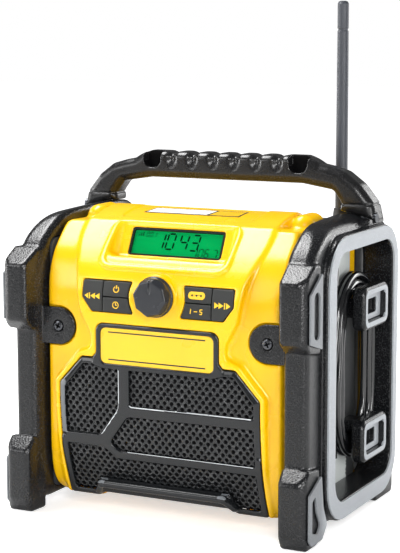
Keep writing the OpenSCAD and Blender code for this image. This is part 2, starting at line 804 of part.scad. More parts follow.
// Inlays on the ring and on the lugs
function patch_upper() = [
    [y_front + 7.5, 167, 1], [y_front + 31, 160, 1], [y_front + 31, 221, 1], [y_front + 7.5, 206, 2]
];
function patch_lower() = [
    [y_front + 7.5, 9, 1], [y_front + 12, 4, 2], [y_front + 34, 4, 3], [y_front + 44, 14, 4],
    [y_front + 36, 30, 8], [y_front + 32, 57, 1], [y_front + 7.5, 46, 2]
];
function foot_slot() = [
    [y_front + 13, 14, 3], [y_front + 24, 11, 3], [y_front + 30, 17, 4],
    [y_front + 22, 30, 6], [y_front + 20, 44, 2], [y_front + 13, 40, 2]
];
module frame_trim() {
    along_x(seat_x, outer_x) {
        difference() {
            outline(inset(ring_side(), 1));
            outline(window_side());
        }
        difference() {
            outline(patch_upper());
            outline(box_corners(y_front + 14, 169, y_front + 26, 207, 5.9));
        }
        difference() {
            intersection() {
                outline(patch_lower());
                outline(inset(front_foot_side(), 1));
            }
            outline(foot_slot());
        }
    }
}
module right_frame_trim() color("lightgray") frame_trim();
module left_frame_trim() color("lightgray") mirror([1, 0, 0]) frame_trim();

module tab_screws() color("silver")
    both_sides() screw_y(tab_face - 0.8, tab_face + 8, tab_x, tab_z, 4.2, 1.55);

// ---------- side panels, cleats, storage ----------

function panel_side(back = y_cover - 26) =
    box_corners(y_flank + 12, belly_z + 4, back, window_hi[1] + 2, 8);
store_y1 = (window_lo[0] + y_split) / 2 + door_w / 2 - 1;
store_y0 = store_y1 - door_w + 2;
store_z0 = 66;
store_z1 = store_z0 + door_h - 6;
store_d = 34;
tub_t = 2;

hinge_x = panel_x + 3.6;
hinge_z = store_z0 - 6;
pin_r = 1.5;
knuckle_r = 3.2;
door_x = panel_x + 0.7;               // inner face of the door
door_z0 = hinge_z + 3.6;
door_z1 = door_z0 + door_h;
door_y0 = (store_y0 + store_y1) / 2 - door_w / 2;
door_y1 = door_y0 + door_w;
door_mid = (door_y0 + door_y1) / 2;
ear_w = 5;
knuckle_y0 = door_y0 + 12 + ear_w + gap;
knuckle_y1 = door_y1 - 12 - ear_w - gap;

module left_side_panel() color([0.3, 0.31, 0.32])
    mirror([1, 0, 0]) difference() {
        union() {
            along_x(frame_x, panel_x) outline(panel_side());
            block([side_x - store_d, store_y0, store_z0], [frame_x, store_y1, store_z1]);
            // ears that hold the hinge pin
            for (y = [door_y0 + 12, door_y1 - 12 - ear_w]) {
                rod_y(y, y + ear_w, hinge_x, hinge_z, knuckle_r);
                block([panel_x - 1, y, hinge_z - knuckle_r], [hinge_x, y + ear_w, hinge_z + knuckle_r]);
            }
            // cheeks beside the latch's tongue, open outwards
            for (s = [-1, 1])
                block([panel_x - 1, door_mid + s * 12.5 - 2, door_z1 + 1],
                      [latch_x + 2, door_mid + s * 12.5 + 2, door_z1 + 9]);
        }
        block([side_x - store_d + tub_t, store_y0 + tub_t, store_z0 + tub_t],
              [panel_x + 1, store_y1 - tub_t, store_z1 - tub_t]);
        rod_y(door_y0, door_y1, hinge_x, hinge_z, pin_r);
    }

module door_hinge_pin() color("silver")
    mirror([1, 0, 0]) rod_y(door_y0 + 12, door_y1 - 12, hinge_x, hinge_z, pin_r);

module door_seal() color("black")
    mirror([1, 0, 0]) along_x(panel_x, panel_x + 0.4) difference() {
        outline(box_corners(store_y0 - 0.5, store_z0 - 0.5, store_y1 + 0.5, store_z1 + 0.5, 4));
        outline(box_corners(store_y0 + tub_t, store_z0 + tub_t, store_y1 - tub_t, store_z1 - tub_t, 3));
    }

latch_w = 20;
latch_travel = 4;
latch_z0 = door_z1 - 24;
latch_x = door_x + door_t + fit;
module storage_door() color([0.26, 0.27, 0.28])
    mirror([1, 0, 0]) difference() {
        union() {
            along_x(door_x, door_x + door_t) outline(box_corners(door_y0, door_z0, door_y1, door_z1, 6));
            // long knuckle between the panel's ears
            rod_y(knuckle_y0, knuckle_y1, hinge_x, hinge_z, knuckle_r - 0.2);
            block([door_x, knuckle_y0, hinge_z], [door_x + door_t, knuckle_y1, door_z0 + 5]);
            // guides of the latch
            for (s = [-1, 1]) {
                guide = door_mid + s * (latch_w / 2 + 1.8);
                lip = door_mid + s * latch_w / 2;
                block([door_x + 1, guide - 1.4, latch_z0 - 6], [latch_x + 3.4, guide + 1.4, door_z1 - 3]);
                block([latch_x + 2.4, lip - 1, latch_z0 - 6], [latch_x + 3.4, lip + 1, door_z1 - 3]);
            }
        }
        rod_y(door_y0, door_y1, hinge_x, hinge_z, pin_r + run);
        // grip hollows
        for (z = [door_z0 + 22, door_z0 + 34, door_z0 + 46])
            along_x(door_x + door_t - 1, door_x + door_t + 1)
                outline(box_corners(door_y0 + 12, z, door_y1 - 12, z + 5, 2.4));
    }

module door_latch() color([0.4, 0.41, 0.43])
    mirror([1, 0, 0]) {
        slide_hw = latch_w / 2 - 0.1;
        along_x(latch_x, latch_x + 2)
            outline(box_corners(door_mid - slide_hw, latch_z0, door_mid + slide_hw, door_z1 + 5, 1.5));
        along_x(latch_x + 1, latch_x + 5)
            outline(box_corners(door_mid - 7, latch_z0 + 3, door_mid + 7, latch_z0 + 11, 2));
    }

// Cleats: a stem on the side panel with a broad outer plate
cleat_plate_t = 11;
cleat_pit = 6.5;                      // depth of the square recess in a cleat
cleat_x = outer_x - 1.5 - cleat_plate_t;
cleat_y = window_lo[0] + window_d * 0.69;
stem_y = [cleat_y - window_d * 0.1, cleat_y + window_d * 0.1];
cleat_w = window_d * 0.43;
cleat_h = 37;
cleat_zs = [62.5, 176.5];             // heights of the two cleats
stem_zs = [[67, 77], [166, 183]];     // bottom and top of each stem
module cleat(i) {
    lo = [cleat_y - cleat_w / 2, cleat_zs[i] - cleat_h / 2];
    hi = [cleat_y + cleat_w / 2, cleat_zs[i] + cleat_h / 2];
    difference() {
        union() {
            along_x(cleat_x, cleat_x + cleat_plate_t) outline(box_corners(lo[0], lo[1], hi[0], hi[1], 5));
            along_x(panel_x, cleat_x)
                outline(box_corners(stem_y[0], stem_zs[i][0], stem_y[1], stem_zs[i][1], 6));
        }
        along_x(outer_x - cleat_pit, outer_x)
            outline(box_corners(lo[0] + cleat_rim, lo[1] + cleat_rim,
                                hi[0] - cleat_rim, hi[1] - cleat_rim, 2));
        along_x(cleat_x + 2, outer_x)
            outline(box_corners(cleat_y - 12, cleat_zs[i] - 6.5, cleat_y + 12, cleat_zs[i] + 6.5, 2));
    }
}
cleat_rim = 7;                        // width of a cleat's face round its recess
module upper_cord_cleat() color([0.2, 0.2, 0.21]) cleat(1);
module lower_cord_cleat() color([0.2, 0.2, 0.21]) cleat(0);

// Pale rings on the cleats' faces and on the floors of their recesses
module cleat_trim() color("lightgray")
    for (z = cleat_zs) {
        lo = [cleat_y - cleat_w / 2, z - cleat_h / 2];
        hi = [cleat_y + cleat_w / 2, z + cleat_h / 2];
        along_x(outer_x - 1.5, outer_x) difference() {
            outline(box_corners(lo[0] + 1, lo[1] + 1, hi[0] - 1, hi[1] - 1, 4));
            outline(box_corners(lo[0] + cleat_rim - 1, lo[1] + cleat_rim - 1,
                                hi[0] - cleat_rim + 1, hi[1] - cleat_rim + 1, 2));
        }
        along_x(outer_x - cleat_pit, outer_x - cleat_pit + 1) difference() {
            outline(box_corners(lo[0] + cleat_rim + fit, lo[1] + cleat_rim + fit,
                                hi[0] - cleat_rim - fit, hi[1] - cleat_rim - fit, 2));
            outline(box_corners(cleat_y - 12, z - 6.5, cleat_y + 12, z + 6.5, 2));
        }
    }

module right_side_panel() color([0.3, 0.31, 0.32])
    along_x(frame_x, panel_x) outline(panel_side(y_split - 14));

// ---------- carry handle ----------

handle_y = y_cover - 44;               // middle of the grip
handle_gap = 0.3;
handle_screw_y = handle_y - 7;
handle_screw_z = cage_top - 6.5;
foot_x = outer_x + 0.8;               // outer faces of the handle's feet

function handle_front() = mirrored([
    [73, handle_top - grip_h, 0], [101.5, handle_top - grip_h - 4.5, 6], [108.5, handle_top - 40, 5],
    [108.5, cage_top - 2, 0], [bar_x + 0.6, cage_top - 8, 0], [bar_x + 0.6, ring_top + 0.7, 0],
    [foot_x, ring_top + 0.7, 1], [foot_x - 3.6, cage_top + 5.5, 3], [126, handle_top - 25, 16],
    [112, handle_top - 14.7, 12], [98, handle_top - 10.8, 8], [89.5, handle_top - 9.2, 4],
    [75.5, handle_top, 5]
]);

function handle_side() = [
    [handle_y - grip_d / 2 - 0.8, ring_top], [handle_y + grip_d / 2 + 2, ring_top],
    [handle_y + grip_d / 2, cage_top + 6, 10], [handle_y + grip_d / 2, handle_top, 7],
    [handle_y - grip_d / 2, handle_top, 7], [handle_y - grip_d / 2, cage_top + 6, 10]
];

module carry_handle() color([0.2, 0.2, 0.21])
    difference() {
        intersection() {
            along_y(handle_y - 60, handle_y + 60) outline(handle_front());
            along_x(-reach / 2, reach / 2) outline(handle_side());
        }
        // finger grooves
        for (i = [0:groove_count - 1]) {
            groove_x = (i - (groove_count - 1) / 2) * groove_pitch;
            rod_y(handle_y - 20, handle_y + 20, groove_x, handle_top + 6.6, 9);
        }
        // pockets at the ends of the grip
        both_sides() along_y(handle_y - 20, handle_y - 3)
            outline([[62, handle_top - 16.5, 7], [78, handle_top - 16.5, 7],
                     [78, handle_top - 2, 1], [62, handle_top - 2, 1]]);
        // seats on the cage frames
        both_sides() frame_block(handle_gap);
        both_sides() {
            rod_x(foot_x - 3, foot_x + 1, handle_screw_y, handle_screw_z, 4.4);
            rod_x(seat_x - 10, foot_x + 1, handle_screw_y, handle_screw_z, 2.2);
        }
    }

module handle_screws() color("silver")
    both_sides() {
        rod_x(seat_x - 24, foot_x - 2, handle_screw_y, handle_screw_z, 1.9);
        rod_x(foot_x - 3, foot_x - 1, handle_screw_y, handle_screw_z, 4.1);
    }

// ---------- speakers ----------

speaker_d = 24;
module on_speaker(flip)
    at_sides(flip) translate([speaker_x, baffle_y, speaker_z]) rotate([-90, 0, 0]) children();

module speaker_basket(flip) color("dimgray")
    on_speaker(flip) difference() {
        rotate_extrude() polygon([
            [speaker_r - 7, 0], [speaker_r, 0], [speaker_r, 2], [speaker_r - 4, 2], [16, speaker_d - 4],
            [16, speaker_d - 2], [9, speaker_d - 2], [9, speaker_d - 5], [speaker_r - 7, 2]
        ]);
        for (a = [45:90:315])
            rotate([0, 0, a]) translate([speaker_r - 2.2, 0, -1]) cylinder(h = 4, r = 1.2);
    }
module speaker_cone(flip) color([0.1, 0.1, 0.1])
    on_speaker(flip) rotate_extrude() polygon([
        [speaker_r - 7.05, 0.4], [speaker_r - 7.05, 1.2], [9, speaker_d - 8], [0, speaker_d - 10],
        [0, speaker_d - 11], [9.5, speaker_d - 9.5]
    ]);
module speaker_magnet(flip) color("gray")
    on_speaker(flip) rotate_extrude() polygon([
        [0, speaker_d - 2], [20, speaker_d - 2], [22, speaker_d], [22, speaker_d + 9],
        [20, speaker_d + 11], [0, speaker_d + 11]
    ]);
module left_speaker_basket() speaker_basket(true);
module right_speaker_basket() speaker_basket(false);
module left_speaker_cone() speaker_cone(true);
module right_speaker_cone() speaker_cone(false);
module left_speaker_magnet() speaker_magnet(true);
module right_speaker_magnet() speaker_magnet(false);

module speaker_screws() color("silver")
    for (f = [true, false]) on_speaker(f) for (a = [45:90:315])
        rotate([0, 0, a]) translate([speaker_r - 2.2, 0, 0]) {
            cylinder(h = 3.6, r = 1.1);
            translate([0, 0, 2]) cylinder(h = 1.6, r = 1.6);
        }

// ---------- electronics ----------

module main_board() color("darkgreen")
    along_z(post_z, post_z + board_t)
        outline(box_corners(board_lo[0], board_lo[1], board_hi[0], board_hi[1], 2));

module board_parts() {
    z = post_z + board_t;
    color("black") block([-20, board_lo[1] + 12, z], [-4, board_lo[1] + 28, z + 2.5]);
    color("navy") for (i = [0:3]) rod_z(z, z + 14, -56 + i * 11, board_hi[1] - 8, 4);
    color("white") block([0, board_lo[1] + 6, z], [12, board_lo[1] + 13, z + 8]);
}

module heat_sink() color("silver")
    translate([board_lo[0] + 3, board_lo[1] + 12, post_z + board_t]) {
        cube([26, 28, 3]);
        for (i = [0:5]) translate([i * 4.9, 0, 2.5]) cube([1.5, 28, 17.5]);
    }

module mains_transformer() color("dimgray") {
    z = belly_z + wall;
    block([32, y_face + 76, z], [88, y_face + 116, z + 2]);
    block([38, y_face + 78, z + 1.5], [82, y_face + 114, z + 40]);
    block([46, y_face + 70, z + 9], [74, y_face + 122, z + 33]);
}

// ---------- antenna ----------

mast_x = side_x - 18;
mast_y = (y_split + seal_t + y_cover) / 2;
antenna_r = 7.5;
stud_r = 3.4;
base_h = 10;

module antenna_base() color([0.14, 0.14, 0.15])
    translate([mast_x, mast_y, 0]) difference() {
        union() {
            rod_z(deck_z - 11, deck_z, 0, 0, stud_r + 1.5 - fit);
            translate([0, 0, deck_z]) rotate_extrude()
                polygon([[0, 0], [antenna_r, 0], [antenna_r, 3], [antenna_r - 1, base_h], [0, base_h]]);
        }
        rod_z(deck_z - 8, deck_z + base_h + 1, 0, 0, stud_r + run);
    }

module antenna_mast() color([0.18, 0.19, 0.2])
    translate([mast_x, mast_y, deck_z + base_h + 0.3]) rotate_extrude() polygon([
        [0, -base_h - 6], [stud_r, -base_h - 6], [stud_r, 0], [mast_r + 0.3, 0],
        [mast_r + 0.1, mast_h * 0.3], [mast_r - 0.2, mast_h - 26], [mast_r - 0.8, mast_h - 25.4],
        [mast_r - 0.8, mast_h - 24], [mast_r - 0.2, mast_h - 23.4], [mast_r - 0.2, mast_h - 2.5],
        [mast_r - 1.2, mast_h - 0.7], [mast_r - 3, mast_h], [0, mast_h]
    ]);

// ---------- mains lead ----------

winding_x0 = panel_x + 0.4;
winding_x1 = winding_x0 + 2 * cord_d + 0.2;
winding_w = 3.1 * cord_d;
winding_lo = [stem_y[0] - 31.7, stem_zs[0][0] - 4 - winding_w];
winding_hi = [stem_y[1] + 25.3, stem_zs[1][1] + 4 + winding_w];
lead_x = (winding_x0 + winding_x1) / 2;
lead_y = winding_lo[0] - 13;

gland_z0 = 178;
gland_z1 = 216;
pin_l = 19;
plug_z0 = window_lo[1] + pin_l + 11;

// Ways of the lead from the gland down to the winding, and of the tail from the plug up to it:
// how far each point lies towards the winding, and how far along the way
bend = [[0, 0], [0, 8], [0.5, 16], [2, 24], [5.5, 31.5], [11, 38], [16.5, 43]];
lead_route = [for (b = bend) [lead_x, lead_y + b[0], gland_z0 - b[1]]];
tail_route = [for (b = bend) [lead_x, lead_y + b[0], plug_z0 + 33 + b[1] * 0.85]];

function ring_at(route, i, r, n = 10) =
    let (last = len(route) - 1, t = unit(route[min(i + 1, last)] - route[max(i - 1, 0)]),
         u = [1, 0, 0], v = cross(t, u))
    [for (k = [0:n - 1]) route[i] + r * (u * cos(k * 360 / n) + v * sin(k * 360 / n))];

module tube(route, r, n = 10) {
    m = len(route);
    polyhedron(
        points = [for (i = [0:m - 1]) each ring_at(route, i, r, n)],
        faces = concat(
            [[for (k = [0:n - 1]) k]],
            [for (i = [0:m - 2]) for (k = [0:n - 1])
                each [[i * n + k, (i + 1) * n + k, (i + 1) * n + (k + 1) % n],
                      [i * n + k, (i + 1) * n + (k + 1) % n, i * n + (k + 1) % n]]],
            [[for (k = [n - 1:-1:0]) (m - 1) * n + k]]));
}

module cord_gland() color([0.12, 0.12, 0.13]) {
    block([panel_x, lead_y - 7.5, gland_z0 + 20], [lead_x + 7, lead_y + 7.5, gland_z1]);
    translate([lead_x, lead_y, gland_z0]) cylinder(h = 22, r1 = 4.2, r2 = 6);
}
module mains_lead() color([0.08, 0.08, 0.09]) tube(lead_route, cord_d / 2);
module plug_tail() color([0.08, 0.08, 0.09]) tube(tail_route, cord_d / 2);

function winding_side() =
    box_corners(winding_lo[0], winding_lo[1], winding_hi[0], winding_hi[1], 20 + winding_w);
module cord_winding() color([0.08, 0.08, 0.09])
    along_x(winding_x0, winding_x1) difference() {
        outline(winding_side());
        outline(inset(winding_side(), winding_w));
    }

module mains_plug() color([0.08, 0.08, 0.09])
    translate([lead_x, lead_y, 0]) {
        along_z(plug_z0, plug_z0 + 16) outline(box_corners(-6.6, -12, 6.6, 12, 6));
        translate([0, 0, plug_z0 + 16]) cylinder(h = 17, r1 = 6, r2 = 4.4);
    }
module plug_pins() color("silver")
    for (s = [-1, 1]) rod_z(plug_z0 - pin_l, plug_z0, lead_x, lead_y + s * 9.3, 2);

front_housing();
rear_cover();
housing_seal();
cover_screws();
left_side_frame();
right_side_frame();
left_frame_trim();
right_frame_trim();
tab_screws();
left_side_panel();
right_side_panel();
upper_cord_cleat();
lower_cord_cleat();
cleat_trim();
carry_handle();
handle_screws();
speaker_grille();
grille_mesh();
badge_plate();
top_label();
display_lens();
lcd_module();
display_board();
key_board();
tactile_switches();
skip_back_key();
power_key();
clock_key();
mode_key();
preset_key();
skip_forward_key();
tuning_knob();
encoder_shaft();
rotary_encoder();
left_speaker_basket();
left_speaker_cone();
left_speaker_magnet();
right_speaker_basket();
right_speaker_cone();
right_speaker_magnet();
speaker_screws();
main_board();
board_parts();
heat_sink();
mains_transformer();
battery_bay();
battery_terminals();
aux_socket();
storage_door();
door_hinge_pin();
door_seal();
door_latch();
antenna_base();
antenna_mast();
cord_gland();
mains_lead();
cord_winding();
plug_tail();
mains_plug();
plug_pins();
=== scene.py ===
"""Jobsite radio: the looks. Every form follows the part's source, in millimetres, and is scaled to metres."""
import math

import bmesh
import bpy
import numpy as np
from mathutils import Matrix, Vector


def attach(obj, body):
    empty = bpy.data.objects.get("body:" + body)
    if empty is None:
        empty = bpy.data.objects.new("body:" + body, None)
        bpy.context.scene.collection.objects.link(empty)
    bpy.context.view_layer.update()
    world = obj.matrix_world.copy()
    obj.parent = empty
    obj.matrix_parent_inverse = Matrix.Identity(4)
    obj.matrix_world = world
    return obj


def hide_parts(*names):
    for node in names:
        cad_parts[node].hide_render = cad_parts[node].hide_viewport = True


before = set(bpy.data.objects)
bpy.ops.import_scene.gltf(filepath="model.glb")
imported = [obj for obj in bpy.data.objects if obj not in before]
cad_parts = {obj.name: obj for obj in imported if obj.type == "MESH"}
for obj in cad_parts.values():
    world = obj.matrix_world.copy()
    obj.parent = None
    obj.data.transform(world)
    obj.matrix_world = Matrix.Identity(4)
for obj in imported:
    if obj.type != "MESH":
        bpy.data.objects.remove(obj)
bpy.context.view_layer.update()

MM = 0.001
bpy.context.scene.view_settings.view_transform = "Standard"

# ---------------------------------------------------------------- sizes of the part, in millimetres
SIDE_X, FRAME_X, PANEL_X, BAR_X, SEAT_X, OUTER_X = 110.0, 110.3, 113.0, 136.5, 140.0, 141.5
Y_FRONT, Y_BAR, Y_FACE, Y_FLANK = -104.5, -92.5, -87.5, -80.0
Y_SPLIT, Y_COVER, Y_RING, Y_REAR = 76.0, 95.0, 98.2, 104.5
CAGE_TOP, DECK_Z, CROWN_Z, RING_LOW, RING_TOP, BELLY_Z = 258.5, 244.0, 260.0, 8.4, 244.5, 12.0
KNOB_Z, CONSOLE_HW, GRILLE_HW, BEZEL_HW = 194.0, 78.0, 93.5, 57.0
TILT = math.radians(26.8)
DISPLAY_Y, DISPLAY_Z = -51.1, 234.0         # middle of the display window's plane
RIM_Y, RIM_Z = -61.0, 232.75                # middle of the rim round the display's pocket
TAB_X, TAB_Z, TAB_R, TAB_FACE, TAB_THICK = 97.0, 161.5, 16.0, -81.5, 4.0
WALL = 3.0                                  # housing wall
SPEAKER_X, SPEAKER_Z, SPEAKER_R = 47.0, 82.0, 27.0
GRILLE_PROUD, GRILLE_SEAT = 0.8, 4.8        # how deep the grille's face and its seat lie in the console


def linked(name, data):
    """An object of this data, in the scene."""
    ob = bpy.data.objects.new(name, data)
    bpy.context.scene.collection.objects.link(ob)
    return ob


# ---------------------------------------------------------------- camera
def place_camera():
    """The photo's view, solved from mirrored pairs of points of the two cage sides."""
    az, el, roll = math.radians(26.667), math.radians(8.522), math.radians(-0.114)
    back = Vector((math.sin(az) * math.cos(el), -math.cos(az) * math.cos(el), math.sin(el)))
    right = Vector((math.cos(az), math.sin(az), 0))
    up = back.cross(right)
    r = math.cos(roll) * right + math.sin(roll) * up
    u = -math.sin(roll) * right + math.cos(roll) * up
    data = bpy.data.cameras.new("Camera")
    data.lens, data.sensor_width, data.sensor_fit = 110.41, 36, "AUTO"
    data.clip_start, data.clip_end = 0.05, 20
    cam = linked("Camera", data)
    m = Matrix((r, u, back)).transposed().to_4x4()
    m.translation = (0.6447, -1.2905, 0.4151)
    cam.matrix_world = m
    bpy.context.scene.camera = cam


place_camera()


# ---------------------------------------------------------------- outlines, as in the part's source
def unit2(v):
    return np.asarray(v, float) / math.hypot(v[0], v[1])


def corner(p, q, s, r, step):
    """The corner at q as points of an arc of radius r between the edges to p and s."""
    p, q, s = np.array(p[:2], float), np.array(q[:2], float), np.array(s[:2], float)
    a, b = unit2(p - q), unit2(s - q)
    half = math.acos(max(-1, min(1, float(a @ b)))) / 2
    room = 0.48 * min(np.hypot(*(p - q)), np.hypot(*(s - q)))
    rr = min(r, room * math.tan(half))
    if rr < 0.05 or math.degrees(half) > 88:
        return [q]
    d = rr / math.tan(half)
    mid = q + unit2(a + b) * rr / math.sin(half)
    v0, v1 = q + a * d - mid, q + b * d - mid
    turn = math.pi - 2 * half
    n = max(1, math.ceil(math.degrees(turn) / step))
    return [mid + (v0 * math.sin(turn * (1 - k / n)) + v1 * math.sin(turn * k / n)) / math.sin(turn)
            for k in range(n + 1)]


def rounded(c, step=6):
    out = []
    for i, q in enumerate(c):
        out += corner(c[i - 1], q, c[(i + 1) % len(c)], q[2] if len(q) > 2 else 0, step)
    return np.array(out)


def inset(c, d):
    """Corners of a counter-clockwise outline moved inwards by d."""
    out = []
    for i, q in enumerate(c):
        p, s = c[i - 1], c[(i + 1) % len(c)]
        a = unit2((q[0] - p[0], q[1] - p[1]))
        b = unit2((s[0] - q[0], s[1] - q[1]))
        na, nb = np.array((-a[1], a[0])), np.array((-b[1], b[0]))
        m = (na + nb) / (1 + na @ nb)
        r = q[2] if len(q) > 2 else 0
        bend = -d if a[0] * b[1] - a[1] * b[0] > 0 else d
        out.append((q[0] + m[0] * d, q[1] + m[1] * d, 0 if r == 0 else max(r + bend, 0.2)))
    return out


def flowing(c, kept=(), rounds=30):
    """A rounded outline whose curves run softly into each other, apart from near the kept points."""
    pts = rounded(c, 3)
    ring = np.vstack([pts, pts[:1]])
    d = np.r_[0, np.cumsum(np.hypot(*np.diff(ring, axis=0).T))]
    s = np.linspace(0, d[-1], int(d[-1] / 2) + 1)[:-1]
    p = np.stack([np.interp(s, d, ring[:, i]) for i in (0, 1)], 1)
    free = np.ones(len(p))
    for k in kept:
        free *= np.clip((np.hypot(*(p - np.array(k)).T) - 3) / 8, 0, 1)
    for _ in range(rounds):
        p += ((np.roll(p, 1, 0) + np.roll(p, -1, 0)) / 2 - p) * 0.5 * free[:, None]
    return [tuple(v) for v in p]


def mirrored(half):
    return list(half) + [(-q[0],) + tuple(q[1:]) for q in reversed(half)]


def box_corners(x0, y0, x1, y1, r=0):
    return [(x0, y0, r), (x1, y0, r), (x1, y1, r), (x0, y1, r)]


def bar_outlines(points, w):
    """A bar of width w along a line of points, as one quadrilateral for each part of it."""
    out = []
    for a, b in zip(points, points[1:]):
        d = unit2((b[0] - a[0], b[1] - a[1])) * w / 2
        s = np.array((-d[1], d[0]))
        a, b = np.array(a, float), np.array(b, float)
        out.append([a - d * 0.4 + s, a - d * 0.4 - s, b + d * 0.4 - s, b + d * 0.4 + s])
    return out


# ---------------------------------------------------------------- solids as distance fields on a grid
class Grid:
    """A grid of points; with half=True only its right half is worked out, and the skin is mirrored."""

    def __init__(self, lo, hi, h, half=False):
        h = h * 1
        self.h, self.half = h, half
        lo = (h / 2, lo[1], lo[2]) if half else lo
        self.x, self.y, self.z = (np.arange(a, b + h, h, dtype=np.float32) for a, b in zip(lo, hi))
        self.X, self.Y, self.Z = self.x[:, None, None], self.y[None, :, None], self.z[None, None, :]

    def along_x(self, c, step=6):
        return outline_field(c, self.y, self.z, step)[None, :, :]

    def along_y(self, c, step=6):
        return outline_field(c, self.x, self.z, step)[:, None, :]

    def along_z(self, c, step=6):
        return outline_field(c, self.x, self.y, step)[:, :, None]

    def box(self, lo, hi):
        return np.maximum(np.maximum(np.maximum(lo[0] - self.X, self.X - hi[0]),
                                     np.maximum(lo[1] - self.Y, self.Y - hi[1])),
                          np.maximum(lo[2] - self.Z, self.Z - hi[2]))

    def rod_y(self, y0, y1, x, z, r):
        return both(np.hypot(self.X - x, self.Z - z) - r, slab(self.Y, y0, y1), 0)

    def capsule(self, a, b, r):
        a, b = np.array(a, float), np.array(b, float)
        d = b - a
        px, py, pz = self.X - a[0], self.Y - a[1], self.Z - a[2]
        t = np.clip((px * d[0] + py * d[1] + pz * d[2]) / (d @ d), 0, 1)
        return np.sqrt((px - t * d[0]) ** 2 + (py - t * d[1]) ** 2 + (pz - t * d[2]) ** 2) - r


def outline_field(c, u, v, step=6):
    """Signed distance to an outline, negative inside, on the points of u by v."""
    pts = rounded(c, step)
    U, V = np.meshgrid(u.astype(np.float32), v.astype(np.float32), indexing="ij")
    near = np.full(U.shape, 1e9, np.float32)
    inside = np.zeros(U.shape, bool)
    for i in range(len(pts)):
        (ax, ay), (bx, by) = pts[i - 1], pts[i]
        ex, ey = bx - ax, by - ay
        size = ex * ex + ey * ey
        if size < 1e-9:
            continue
        t = np.clip(((U - ax) * ex + (V - ay) * ey) / size, 0, 1)
        near = np.minimum(near, (U - ax - t * ex) ** 2 + (V - ay - t * ey) ** 2)
        if ey:
            inside ^= ((V >= ay) != (V >= by)) & (U < ax + (V - ay) * ex / ey)
    return np.where(inside, -1, 1) * np.sqrt(near)


def slab(v, lo, hi):
    return np.maximum(lo - v, v - hi)


def both(a, b, r=0):
    """What a and b share, its edge rounded by r."""
    if r == 0:
        return np.maximum(a, b)
    return np.minimum(-r, np.maximum(a, b)) + np.hypot(np.maximum(a + r, 0), np.maximum(b + r, 0))


def join(a, b, r=0):
    """a and b together, the inner edge between them filled by radius r."""
    if r == 0:
        return np.minimum(a, b)
    return np.maximum(r, np.minimum(a, b)) - np.hypot(np.maximum(r - a, 0), np.maximum(r - b, 0))


def cut(a, b, r=0):
    return both(a, -b, r)


def rbox2(u, v, hu, hv, r):
    """Distance to a rounded rectangle of half sizes hu, hv about the origin."""
    qu, qv = np.abs(u) - hu + r, np.abs(v) - hv + r
    return np.minimum(np.maximum(qu, qv), 0) + np.hypot(np.maximum(qu, 0), np.maximum(qv, 0)) - r


CORNERS = [(i, j, k) for i in (0, 1) for j in (0, 1) for k in (0, 1)]
EDGES = [(a, b) for a in CORNERS for b in CORNERS if sum(b) - sum(a) == 1
         and all(q >= p for p, q in zip(a, b))]


def skin_data(field, g, left=None):
    """Surface nets: one point in each cell that the surface crosses, one quad for each crossed edge."""
    F = np.broadcast_to(field, (len(g.x), len(g.y), len(g.z))).astype(np.float32)
    x0 = float(g.x[0])
    if g.half:
        L = F if left is None else np.broadcast_to(left, F.shape).astype(np.float32)
        F = np.concatenate([L[::-1], F], 0)
        x0 = -float(g.x[-1])
    F = np.pad(F, 1, constant_values=g.h)
    lo = np.array((x0, float(g.y[0]), float(g.z[0]))) - g.h
    S = F < 0
    n = [s - 1 for s in F.shape]
    count = np.zeros(n, np.int8)
    for i, j, k in CORNERS:
        count += S[i:i + n[0], j:j + n[1], k:k + n[2]]
    mixed = (count > 0) & (count < 8)
    ids = np.full(n, -1, np.int32)
    cells = np.nonzero(mixed)
    total = len(cells[0])
    ids[mixed] = np.arange(total, dtype=np.int32)
    value = {c: F[cells[0] + c[0], cells[1] + c[1], cells[2] + c[2]].astype(float) for c in CORNERS}
    pos, weight = np.zeros((total, 3)), np.zeros(total)
    for a, b in EDGES:
        fa, fb = value[a], value[b]
        m = (fa < 0) != (fb < 0)
        t = fa[m] / (fa[m] - fb[m])
        pos[m] += np.array(a) + t[:, None] * (np.array(b) - np.array(a))
        weight[m] += 1
    pos /= weight[:, None]
    for _ in range(3):
        f, grad = np.zeros(total), np.zeros((total, 3))
        wx = (1 - pos[:, 0], pos[:, 0])
        wy = (1 - pos[:, 1], pos[:, 1])
        wz = (1 - pos[:, 2], pos[:, 2])
        for c in CORNERS:
            v = value[c]
            f += v * wx[c[0]] * wy[c[1]] * wz[c[2]]
            grad[:, 0] += v * (2 * c[0] - 1) * wy[c[1]] * wz[c[2]]
            grad[:, 1] += v * (2 * c[1] - 1) * wx[c[0]] * wz[c[2]]
            grad[:, 2] += v * (2 * c[2] - 1) * wx[c[0]] * wy[c[1]]
        size = np.maximum((grad ** 2).sum(1), 1e-6)
        pos = np.clip(pos - 0.8 * (f / size)[:, None] * grad, 0.02, 0.98)
    verts = (np.stack(cells, 1) + pos) * g.h + lo
    quads = []
    for axis in range(3):
        sl_a = [slice(1, -1)] * 3
        sl_b = [slice(1, -1)] * 3
        sl_a[axis], sl_b[axis] = slice(0, -1), slice(1, None)
        a, b = S[tuple(sl_a)], S[tuple(sl_b)]
        e = np.nonzero(a != b)
        out = a[e]
        base = [e[d] + (0 if d == axis else 1) for d in range(3)]
        u, v = (axis + 1) % 3, (axis + 2) % 3

        def cell(du, dv):
            q = [base[0].copy(), base[1].copy(), base[2].copy()]
            q[u] -= du
            q[v] -= dv
            return ids[q[0], q[1], q[2]]
        quad = np.stack([cell(1, 1), cell(0, 1), cell(0, 0), cell(1, 0)], 1)
        quad[~out] = quad[~out][:, ::-1]
        quads.append(quad)
    return verts, np.concatenate(quads)


